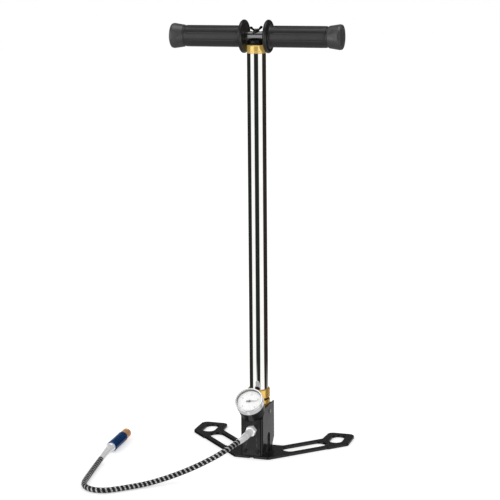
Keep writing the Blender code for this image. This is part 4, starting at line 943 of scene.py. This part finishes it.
def housing():
    outer = [(-HOUSING_HALF, HOUSING_BACK)]
    outer += corner_arc(-1, HOUSING_CORNER, HOUSING_HALF, HOUSING_FRONT)
    outer += corner_arc(1, HOUSING_CORNER, HOUSING_HALF, HOUSING_FRONT)
    outer += [(HOUSING_HALF, HOUSING_BACK)]
    half = HOUSING_HALF - SHEET
    inner = [(-half, HOUSING_BACK)]
    inner += corner_arc(-1, HOUSING_CORNER - SHEET, half, HOUSING_FRONT + SHEET)
    inner += corner_arc(1, HOUSING_CORNER - SHEET, half, HOUSING_FRONT + SHEET)
    inner += [(half, HOUSING_BACK)]
    height = HOUSING_TOP - BLOCK_BOTTOM
    middle = Matrix.Translation((0, 0, BLOCK_BOTTOM + height / 2))
    obj = plate("housing_fine", [outer + inner[::-1]], height, middle)
    slot_half, slot_top, slot_y = 0.007, 0.032, -0.0075
    arch = [
        (slot_y + slot_half * math.cos(a), slot_top - slot_half + slot_half * math.sin(a))
        for a in [math.pi * i / 20 for i in range(21)]
    ]
    slot = [(slot_y - slot_half, -0.01), (slot_y + slot_half, -0.01), *arch]
    chamfer, more = 0.013, 0.004
    corner = [
        (HOUSING_BACK - chamfer - more, BLOCK_BOTTOM - more),
        (HOUSING_BACK + more, BLOCK_BOTTOM - more),
        (HOUSING_BACK + more, BLOCK_BOTTOM + chamfer + more),
    ]
    cuts = [
        slope_cutter(CASE_BACK + GAP + 0.4 * STEM_HEX_HEIGHT),
        sideways(slot, "side_slot"),
        sideways(corner, "rear_corner"),
        rod("hose_hole", 0.0087, -0.006, 0.006, (0, HOUSING_FRONT, HOSE_PORT_Z), Y_AXIS, 64),
        rod("side_hole", SCREW_HOLE_RADIUS, -0.04, 0.04, (0, 0, SIDE_SCREW_Z), X_AXIS, 32),
    ]
    for side in (-1, 1):
        start = (side * FRONT_SCREW_X, HOUSING_FRONT, FRONT_SCREW_Z)
        cuts.append(rod("front_hole", SCREW_HOLE_RADIUS, -0.006, 0.006, start, Y_AXIS, 32))
    carved(obj, cuts=cuts, edge=0.00035, segments=3)
    piece(obj, "base", "black_sheet", BLACK_SHEET, "housing")
    finish_node("valve_block", BLACK_ALLOY, edge=0.0003, smooth_sides=False)


def finish_node(name, material, edge=0.0, smooth_sides=True):
    """A carried-over CAD node: its material, and if asked a small bevel or smooth sides."""
    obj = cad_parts[name]
    obj.data.materials.clear()
    obj.data.materials.append(material)
    if edge:
        bevelled(obj, edge, degrees=40)
    if smooth_sides:
        shaded(obj, 40)


def button_screw(name, origin, direction, depth, material, slot, node):
    """A button-head screw with a hexagon socket. Local Z points out of the wall."""
    corners = [
        (0, SCREW_TOP), (0.0016, SCREW_TOP, 0.0004), (0.0032, 0.00095, 0.0006),
        (0.0032, GAP, 0.0001), (0.0020, GAP, 0), (0.0020, -depth, 0.0003), (0, -depth),
    ]
    screw = lathe(name, soft(corners), origin=origin, direction=direction, sides=48)
    place = placing(origin, direction) @ Matrix.Translation((0, 0, SCREW_TOP))
    socket = plate("screw_socket", [hexagon(0.0022)], 0.0024, place)
    carved(screw, cuts=[socket], edge=0.00008, segments=1)
    piece(screw, "base", slot, material, node)


def housing_screws():
    for side, word in ((-1, "left"), (1, "right")):
        front = (side * FRONT_SCREW_X, HOUSING_FRONT, FRONT_SCREW_Z)
        name = f"front_screw_fine_{word}"
        button_screw(name, front, -Y_AXIS, 0.0088, BLACK_ALLOY, "dark_steel", f"front_screw_{word}")
        start = (side * HOUSING_HALF, 0, SIDE_SCREW_Z)
        name = f"side_screw_fine_{word}"
        button_screw(name, start, (side, 0, 0), 0.0044, STEEL, "steel", f"side_screw_{word}")


# ---------------------------------------------------------------- cylinder

TUBE_RADIUS = 0.014
TUBE_BOTTOM = 0.085
TUBE_TOP = 0.600
COLLAR_RADIUS = 0.0165


def cylinder():
    tube = tube_ring("outer_tube_fine", 0.0125, TUBE_RADIUS, TUBE_BOTTOM, TUBE_TOP, 0.0003, sides=160)
    piece(tube, "base", "chrome", CHROME, "outer_tube")
    corners = [
        (0.0058, 0.099), (0.0122, 0.099, 0.0004), (0.0122, 0.0847, 0), (0.0130, 0.0847, 0.0002),
        (0.0130, 0.0820, 0.0003), (COLLAR_RADIUS, 0.0820, 0.0006), (COLLAR_RADIUS, 0.0765, 0.0006),
        (0.0130, 0.0765, 0.0004), (0.0130, 0.0723, 0.0002), (0.0117, 0.0723, 0.0002),
        (0.0117, 0.0583, 0.0005), (0.0015, 0.0583, 0), (0.0015, 0.0667, 0), (0.0058, 0.0667, 0),
    ]
    adapter = lathe("base_adapter_fine", soft(corners, closed=True, steps=5), sides=128, closed=True)
    piece(adapter, "base", "brass", BRASS, "base_adapter")
    ring_radius, ring_z, cord_radius = 0.0144, 0.0835, 0.0012
    turns = [2 * math.pi * i / 18 for i in range(18)]
    section = [(ring_radius + cord_radius * math.cos(a), ring_z + cord_radius * math.sin(a)) for a in turns]
    seal = lathe("base_o_ring_fine", section, closed=True, sides=112)
    piece(seal, "base", "rubber", SEAL_RUBBER, "base_o_ring")
    corners = [
        (TUBE_RADIUS + GAP, 0.0985, 0.0003), (0.0158, 0.0985, 0.0005),
        (COLLAR_RADIUS, 0.0976, 0.0004), (COLLAR_RADIUS, 0.0858, 0.0004), (0.0158, 0.0850, 0.0003),
        (TUBE_RADIUS + GAP, 0.0850, 0.0003),
    ]
    nut = lathe("tube_nut_fine", soft(corners, closed=True), closed=True, sides=128)
    piece(nut, "base", "brass", BRASS, "tube_nut")
    corners = [
        (0.0094, 0.6115, 0.0004), (0.0128, 0.6115, 0.0005), (TUBE_RADIUS, 0.6104, 0.0005),
        (TUBE_RADIUS, 0.6034, 0.0002), (0.0136, 0.6030, 0.0002), (0.0136, 0.6024, 0.0002),
        (TUBE_RADIUS, 0.6020, 0.0002), (TUBE_RADIUS, 0.6003, 0.0002), (0.0122, 0.6003, 0.0001),
        (0.0122, 0.5880, 0.0004), (0.0110, 0.5880, 0.0002), (0.0110, 0.6042, 0.0001),
        (0.0094, 0.6042, 0.0001),
    ]
    gland = lathe("gland_nut_fine", soft(corners, closed=True), closed=True, sides=128)
    piece(gland, "base", "brass", GLAND_BRASS, "gland_nut")


def bleed_screw():
    """The pressure release at the back: a fluted knob on its stem."""

    def fluted(angle, radius, height):
        if radius < 0.0060 or not 0.0012 < height < 0.0088:
            return radius
        wave = 0.5 - 0.5 * math.cos(12 * angle)
        return radius - 0.0008 * wave**0.7

    corners = [
        (0, 0.0063), (0.0033, 0.0063), (0.0033, 0), (0.0070, 0, 0.0003), (0.0078, 0.0010, 0.0003),
        (0.0078, 0.0013, 0), (0.0078, 0.0050, 0), (0.0078, 0.0087, 0), (0.0078, 0.0090, 0.0003),
        (0.0068, 0.0100, 0.0003), (0.0052, 0.0100, 0.0002), (0.0048, 0.0094, 0.0002), (0, 0.0094),
    ]
    origin = (0, HOUSING_BACK + GAP, 0.026)
    knob = lathe("bleed_knob_fine", soft(corners), origin=origin, direction=Y_AXIS, sides=144, shape=fluted)
    piece(knob, "bleed_screw", "black_alloy", BLACK_ALLOY, "bleed_knob")
    finish_node("bleed_stem", STEEL)


# ---------------------------------------------------------------- gauge

BEZEL_RADIUS = 0.0211
BEZEL_LIP = 0.0188
DISC_RADIUS = 0.0199
DIAL_DEPTH = 0.0052
NEEDLE_REST = math.radians(8)


def gauge_lathe(name, corners, closed=False, sides=128, steps=4):
    """A turned piece on the gauge's axis, with heights behind its front as negative numbers."""
    profile = soft(corners, closed=closed, steps=steps)
    return lathe(name, profile, origin=GAUGE_FRONT, direction=-GAUGE_IN, sides=sides, closed=closed)


def dial_place(height):
    tilt = Vector(-GAUGE_IN).to_track_quat("Z", "Y").to_matrix().to_4x4()
    return Matrix.Translation(gauge_point(-height)) @ tilt


def gauge():
    corners = [
        (BEZEL_LIP, -0.0002, 0.0001), (0.0191, 0, 0.0002), (BEZEL_RADIUS, 0, 0.0017),
        (BEZEL_RADIUS, -0.0100, 0.0003), (0.0202, -0.0100, 0), (0.0202, -0.0009, 0),
        (BEZEL_LIP, -0.0009, 0),
    ]
    bezel = gauge_lathe("gauge_bezel_fine", corners, closed=True, sides=160, steps=6)
    place = dial_place(-0.0003) @ Matrix.Translation((0.0006, -BEZEL_RADIUS, -0.0004))
    carved(bezel, cuts=[block("bezel_mark", (0.0013, 0.0030, 0.0026), place)])
    piece(bezel, "base", "chrome", BEZEL_CHROME, "gauge_bezel")
    corners = [(0, -0.0012), (DISC_RADIUS, -0.0012, 0.0002), (DISC_RADIUS, -0.0030, 0.0002), (0, -0.0030)]
    glass = gauge_lathe("gauge_glass_fine", corners)
    piece(glass, "base", "glass", GLASS, "gauge_glass")
    corners = [
        (0.0014, -DIAL_DEPTH), (DISC_RADIUS, -DIAL_DEPTH, 0.0001), (DISC_RADIUS, -0.0060, 0.0001),
        (0.0014, -0.0060),
    ]
    dial = gauge_lathe("gauge_dial_fine", corners, closed=True)
    piece(dial, "base", "dial", DIAL, "gauge_dial")
    # A dark rubber ring round the dial's edge: partly a seal, partly painted shade for the shadow gap under
    # the bezel lip.
    corners = [
        (0.0182, -0.0034, 0.0002), (DISC_RADIUS, -0.0034, 0.0002), (DISC_RADIUS, -0.0049, 0.0002),
        (0.0182, -0.0049, 0.0002),
    ]
    gasket_and_shade_ring = gauge_lathe("gauge_gasket_and_shade_ring", corners, closed=True)
    piece(gasket_and_shade_ring, "base", "rubber", SEAL_RUBBER)
    dial_marks()
    corners = [
        (0.0189, -0.0103, 0.0003), (0.0204, -0.0103, 0.0003), (0.0190, -CASE_BACK, 0.0012),
        (0.0050, -CASE_BACK, 0.0003), (0.0050, -CASE_BACK + 0.0014, 0),
        (0.0178, -CASE_BACK + 0.0014, 0.0003),
    ]
    case = gauge_lathe("gauge_case_fine", corners, closed=True)
    piece(case, "base", "gauge_black", GAUGE_BLACK, "gauge_case")
    needle()


def dial_marks():
    """Generic marks: a scale of long and short strokes with plain numbers."""
    strokes = []
    first, sweep, count = math.radians(225), math.radians(270), 40
    height = -DIAL_DEPTH + 0.00008
    for i in range(count + 1):
        angle = first - sweep * i / count
        long = 0.0022 if i % 10 == 0 else 0.0015 if i % 5 == 0 else 0.0009
        wide = 0.00034 if i % 10 == 0 else 0.00018
        middle = Matrix.Rotation(angle, 4, "Z") @ Matrix.Translation((0.0168 - long / 2, 0, 0))
        strokes.append((long, wide, dial_place(height) @ middle))

    def build(edit):
        for long, wide, place in strokes:
            bmesh.ops.create_cube(edit, size=1, matrix=place @ Matrix.Diagonal((long, wide, 0.00008, 1)))

    marks = mesh_object("dial_strokes", build)
    joined = bmesh.new()
    joined.from_mesh(marks.data)
    for i in range(5):
        joined.from_mesh(number(str(i * 10), first - sweep * i / 4, height))
    joined.to_mesh(marks.data)
    joined.free()
    piece(marks, "base", "dial", DIAL_INK)


def number(text, angle, height):
    """A plain number on the dial, as a mesh."""
    font = bpy.data.curves.new("number", "FONT")
    font.body = text
    font.size = 0.0030
    font.extrude = 0.00004
    font.align_x = "CENTER"
    font.align_y = "CENTER"
    source = bpy.data.objects.new("number", font)
    SCENE.collection.objects.link(source)
    made = final_mesh(source)
    bpy.data.objects.remove(source, do_unlink=True)
    radius = 0.0126
    place = dial_place(height) @ Matrix.Translation((radius * math.cos(angle), radius * math.sin(angle), 0))
    made.transform(place)
    return made


def needle():
    """A thin pointer with a counterweight, and a domed hub on its spindle."""
    half = 0.0009
    shape = ((-0.0050, 1.3), (-0.0030, 1.4), (-0.0018, 0.7), (0.0020, 0.6), (0.0135, 0.2))
    outline = [(x, -half * share) for x, share in shape]
    outline += [(x, half * share) for x, share in reversed(shape)]
    height = -DIAL_DEPTH + 0.00115
    place = dial_place(height) @ Matrix.Rotation(NEEDLE_REST, 4, "Z")
    pointer = plate("needle_fine", [outline], 0.0005, place, edge=0.0001)
    corners = [
        (0, height + 0.0006), (0.0015, height + 0.0006, 0.0003), (0.0020, height + 0.0003, 0.0002),
        (0.0020, height - 0.00025, 0.0001), (0.0011, height - 0.00025, 0),
        (0.0011, -DIAL_DEPTH - 0.006, 0.0001), (0, -DIAL_DEPTH - 0.006),
    ]
    hub = gauge_lathe("needle_hub", corners, sides=64)
    carved(pointer, joins=[hub])
    piece(pointer, "needle", "needle", NEEDLE_INK, "gauge_needle")


def gauge_stem():
    """The stem's hexagon with its threaded ends."""
    place = placing(gauge_point(CASE_BACK + GAP + STEM_HEX_HEIGHT / 2), -GAUGE_IN)
    stem = plate("gauge_stem_fine", [hexagon(0.014)], STEM_HEX_HEIGHT, place)
    core = rod("stem_core", 0.0047, -0.0451, -0.0239, GAUGE_FRONT, -GAUGE_IN)
    carved(stem, joins=[core], edge=0.0003)
    piece(stem, "base", "brass", BRASS, "gauge_stem")


# ---------------------------------------------------------------- handle

BAR_RADIUS = 0.0075
BAR_Z = 0.6237
BAR_HALF = 0.122
STUD_HOLE_RADIUS = 0.0033
WING_BOTTOM = 0.6310


def grip(name, side, node):
    """A moulded rubber grip: hand stop, ribbed barrel, flared closed end."""
    bore, bore_end = BAR_RADIUS + GAP, BAR_HALF + GAP
    end = BAR_HALF + 0.006
    inner, flange = 0.0155, 0.0213
    corners = [
        (0, end - 0.0006), (0.0120, end - 0.0006, 0.0006), (0.0138, end, 0.0008),
        (0.0176, end, 0.0012), (0.0183, end - 0.0036, 0.0016), (0.0160, end - 0.0187, 0.0006),
        (0.0149, end - 0.0197, 0.0003), (0.0148, end - 0.0216, 0.0004),
        (0.0155, end - 0.0224, 0.0004),
    ]
    barrel = 0.0156
    flutes_end, flutes_start = end - 0.0250, flange + 0.0056
    rows = 30
    for i in range(rows + 1):
        corners.append((barrel, flutes_end + (flutes_start - flutes_end) * i / rows, 0))
    corners += [
        (barrel, flange + 0.0030, 0.0006), (0.0162, flange + 0.0008, 0.0008),
        (0.0176, flange, 0.0010), (0.0225, flange, 0.0010), (0.0240, flange - 0.0016, 0.0012),
        (0.0240, inner + 0.0016, 0.0012), (0.0225, inner, 0.0010), (bore, inner, 0.0004),
        (bore, bore_end), (0, bore_end),
    ]

    def ribbed(angle, radius, height):
        if abs(radius - barrel) > 0.00002:
            return radius
        rise = min(1.0, (height - flutes_start) / 0.003, (flutes_end - height) / 0.003)
        if rise <= 0:
            return radius
        wave = abs(math.cos(5 * angle))
        groove = max(0.0, 1.0 - wave / 0.22) ** 0.7
        return radius - 0.00038 * groove * rise

    middle, outward = (0, 0, BAR_Z), (side, 0, 0)
    obj = lathe(name, soft(corners, steps=5), origin=middle, direction=outward, sides=240, shape=ribbed)
    piece(obj, "handle", "grip_rubber", GRIP_RUBBER, node)


def handle():
    middle = (0, 0, BAR_Z)
    along = {"origin": middle, "direction": X_AXIS}
    bar = tube_ring("handle_bar_fine", BAR_RADIUS - 0.0025, BAR_RADIUS, -BAR_HALF, BAR_HALF, 0.0005, **along)
    stud = rod("stud_hole", STUD_HOLE_RADIUS, -0.015, 0.015, middle)
    face = rod("spot_face", 0.0075, BAR_RADIUS - 0.0015, 0.015, middle)
    carved(bar, cuts=[stud, face], edge=0.0002)
    piece(bar, "handle", "bar_black", BAR_BLACK, "handle_bar")
    hub = tube_ring("handle_hub_fine", STUD_HOLE_RADIUS, 0.013, 0.6139, 0.6182, 0.0008)
    cradle = rod("bar_cradle", BAR_RADIUS + GAP, -0.026, 0.026, middle, X_AXIS, 96)
    carved(hub, cuts=[cradle], edge=0.0002)
    piece(hub, "handle", "black_alloy", BLACK_ALLOY, "handle_hub")
    bumper = tube_ring("bumper_fine", 0.0094, 0.013, 0.6118, 0.6136, 0.0006)
    piece(bumper, "handle", "rubber", SEAL_RUBBER, "bumper_ring")
    washer = tube_ring("wing_washer_fine", STUD_HOLE_RADIUS, 0.0060, 0.6300, 0.6307, 0.0002)
    piece(washer, "handle", "dark_steel", BLACK_ALLOY, "wing_washer")
    grip("grip_fine_left", -1, "grip_left")
    grip("grip_fine_right", 1, "grip_right")


def wing_nut():
    """A cast wing nut: a barrel and two swept wings that thicken towards it."""
    radius, height = 0.0046, 0.0030
    span, rise = 0.012, 0.0072
    outline = rounded(
        [
            (-radius * 0.9, height * 0.15, 0.0004), (radius * 0.9, height * 0.15, 0.0004),
            (span, rise * 0.62, 0.0016), (span * 0.97, rise, 0.0012), (span * 0.74, rise, 0.0012),
            (radius * 0.95, height * 0.95, 0.0010), (-radius * 0.95, height * 0.95, 0.0010),
            (-span * 0.74, rise, 0.0012), (-span * 0.97, rise, 0.0012),
            (-span, rise * 0.62, 0.0016),
        ],
        6,
    )
    place = (
        Matrix.Translation((0, 0, WING_BOTTOM))
        @ Matrix.Rotation(math.radians(60), 4, "Z")
        @ Matrix.Rotation(math.pi / 2, 4, "X")
    )
    wings = plate("wing_nut_fine", [outline], 0.0024, place, edge=0.0006)
    corners = [
        (0, WING_BOTTOM + height), (0.0040, WING_BOTTOM + height, 0.0004),
        (radius, WING_BOTTOM + height - 0.0010, 0.0005), (radius, WING_BOTTOM, 0.0002),
        (0, WING_BOTTOM),
    ]
    barrel = lathe("wing_barrel", soft(corners), sides=64)
    bore = rod("wing_bore", STUD_HOLE_RADIUS, -0.01, 0.02, (0, 0, WING_BOTTOM))
    carved(wings, joins=[barrel], cuts=[bore], edge=0.00018)
    piece(wings, "wing_nut", "black_alloy", BLACK_ALLOY, "wing_nut")


def piston():
    tube = tube_ring("piston_tube_fine", 0.0075, 0.009, 0.105, 0.6136, 0.0002, sides=112)
    piece(tube, "piston", "chrome", CHROME, "piston_tube")
    threads = []
    bottom, top, pitch = 0.6150, 0.6346, 0.0005
    for i in range(round((top - bottom) / pitch)):
        z = top - i * pitch
        threads += [(0.0030, z), (0.00272, z - pitch / 2)]
    profile = [
        (0, 0.6350),
        (0.0026, 0.6350),
        *threads,
        (0.0030, bottom - 0.0002), (0.0030, 0.6136), (0.0072, 0.6136), (0.0072, 0.5960),
        (0.0028, 0.5960), (0.0028, 0.6023), (0, 0.6023),
    ]
    plug = lathe("top_plug_fine", profile, sides=64)
    piece(plug, "piston", "steel", STEEL, "top_plug")


# ---------------------------------------------------------------- nodes that stay as they are


def carried_over():
    """CAD nodes that are inside the pump or show as they are, with their materials."""
    for material, names in (
        (BRASS, ("inner_head", "valve_seat", "piston_head", "plunger_tip", "bourdon_tube")),
        (STEEL, ("inner_tube", "plunger_rod", "outlet_ball", "outlet_spring")),
        (SEAL_RUBBER, ("inner_head_seal", "wiper_seal", "piston_seal")),
        (BRONZE, ("gland_bush",)),
        (NYLON, ("piston_wear_ring",)),
    ):
        for name in names:
            finish_node(name, material)


# ---------------------------------------------------------------- studio


def studio():
    """A pale floor with a glow of its own, soft light from all round, and dark and white cards.

    Only reflections see the cards. They stand at fixed bearings, counted from the camera's place.
    """

    def build(edit):
        bmesh.ops.create_circle(edit, cap_ends=True, segments=96, radius=9)

    floor = mesh_object("floor", build, outward=False)
    floor.location.z = -0.0002
    made = Material("floor", Metallic=0.0, Roughness=0.8, Specular_IOR_Level=0.0)
    made.color(made.ramp(made.noise(2, 2), (0.3, grey(0.86)), (0.7, grey(0.88))))
    made.link(grey(1), made.shader.inputs["Emission Color"])
    made.link(0.42, made.shader.inputs["Emission Strength"])
    floor.data.materials.append(made.material)
    floor.visible_glossy = False
    floor.visible_diffuse = False
    world = bpy.data.worlds.new("studio")
    SCENE.world = world
    world.use_nodes = True
    sky = Nodes(world.node_tree)
    sky.tree.nodes.clear()
    x, y, z = sky.split(sky.node("ShaderNodeTexCoord").outputs["Generated"])
    azimuth = sky.math("ARCTAN2", x, sky.math("MULTIPLY", y, -1.0))
    turned = sky.math("SUBTRACT", azimuth, CAMERA_AZIMUTH)
    share = sky.math("FRACT", sky.math("ADD", sky.math("DIVIDE", turned, 2 * math.pi), 1.5))
    dark, brown, white = (0.020, 0.024, 0.021), (0.030, 0.022, 0.018), (1.10, 1.10, 1.07)

    def banded(*edges):
        """Cards round the scene, each from one angle to the next and with soft sides."""
        stops = []
        soft_edge = 1.6 / 360
        for start, end, color in edges:
            low, high = (start + 180) / 360, (end + 180) / 360
            stops.append((low + (soft_edge if low > 0 else 0), color))
            stops.append((high - (soft_edge if high < 1 else 0), color))
        return sky.ramp(share, *stops)

    level = banded(
        (-180, -158, white),
        (-158, -75, dark),
        (-75, -31, white),
        (-31, 20, dark),
        (20, 70, white),
        (70, 160, brown),
        (160, 180, white),
    )
    below = banded(
        (-180, -158, white),
        (-158, -75, dark),
        (-75, -20, white),
        (-20, 18, dark),
        (18, 74, white),
        (74, 116, brown),
        (116, 180, grey(0.55)),
    )
    above = banded((-180, -120, grey(0.10)), (-120, -30, grey(1.0)), (-30, 180, grey(0.10)))
    height = sky.math("ADD", sky.math("MULTIPLY", z, 0.5), 0.5)

    def step(low, high):
        """0 below low, 1 above high, of a direction's own Z."""
        return sky.ramp(height, ((low + 1) / 2, grey(0)), ((high + 1) / 2, grey(1)))

    seen = sky.mixed(step(-0.42, -0.36), grey(0.34), below)
    seen = sky.mixed(step(-0.285, -0.265), seen, level)
    seen = sky.mixed(step(0.04, 0.10), seen, above)
    seen = sky.mixed(step(0.42, 0.55), seen, grey(0.08))
    seen = sky.mixed(step(0.88, 0.96), seen, grey(1.2))
    brightness = ((0.0, 0.2), (0.42, 0.4), (0.58, 1.15), (0.76, 0.80), (1.0, 0.5))
    soft_light = sky.ramp(height, *[(position, grey(value)) for position, value in brightness])
    paths = sky.node("ShaderNodeLightPath")
    shown = sky.mixed(paths.outputs["Is Glossy Ray"], grey(1.0), seen)
    shown = sky.mixed(paths.outputs["Is Diffuse Ray"], shown, soft_light)
    glow = sky.node("ShaderNodeBackground")
    sky.link(shown, glow.inputs["Color"])
    sky.link(glow.outputs["Background"], sky.node("ShaderNodeOutputWorld").inputs["Surface"])
    for name, place, size, power in (
        ("key", (-1.6, -1.9, 2.4), 1.6, 12.0),
        ("fill", (2.2, -1.2, 1.8), 1.8, 9.0),
    ):
        data = bpy.data.lights.new(name, "AREA")
        data.size = size
        data.energy = power
        lamp = bpy.data.objects.new(name, data)
        lamp.matrix_world = placing(place, Vector(place) - Vector((0, 0, 0.25)))
        lamp.visible_glossy = False
        SCENE.collection.objects.link(lamp)
    SCENE.view_settings.view_transform = "Standard"
    SCENE.view_settings.look = "None"


hose()
pump_fitting()
foot_plate()
housing()
housing_screws()
cylinder()
bleed_screw()
gauge()
gauge_stem()
piston()
handle()
wing_nut()
carried_over()
studio()
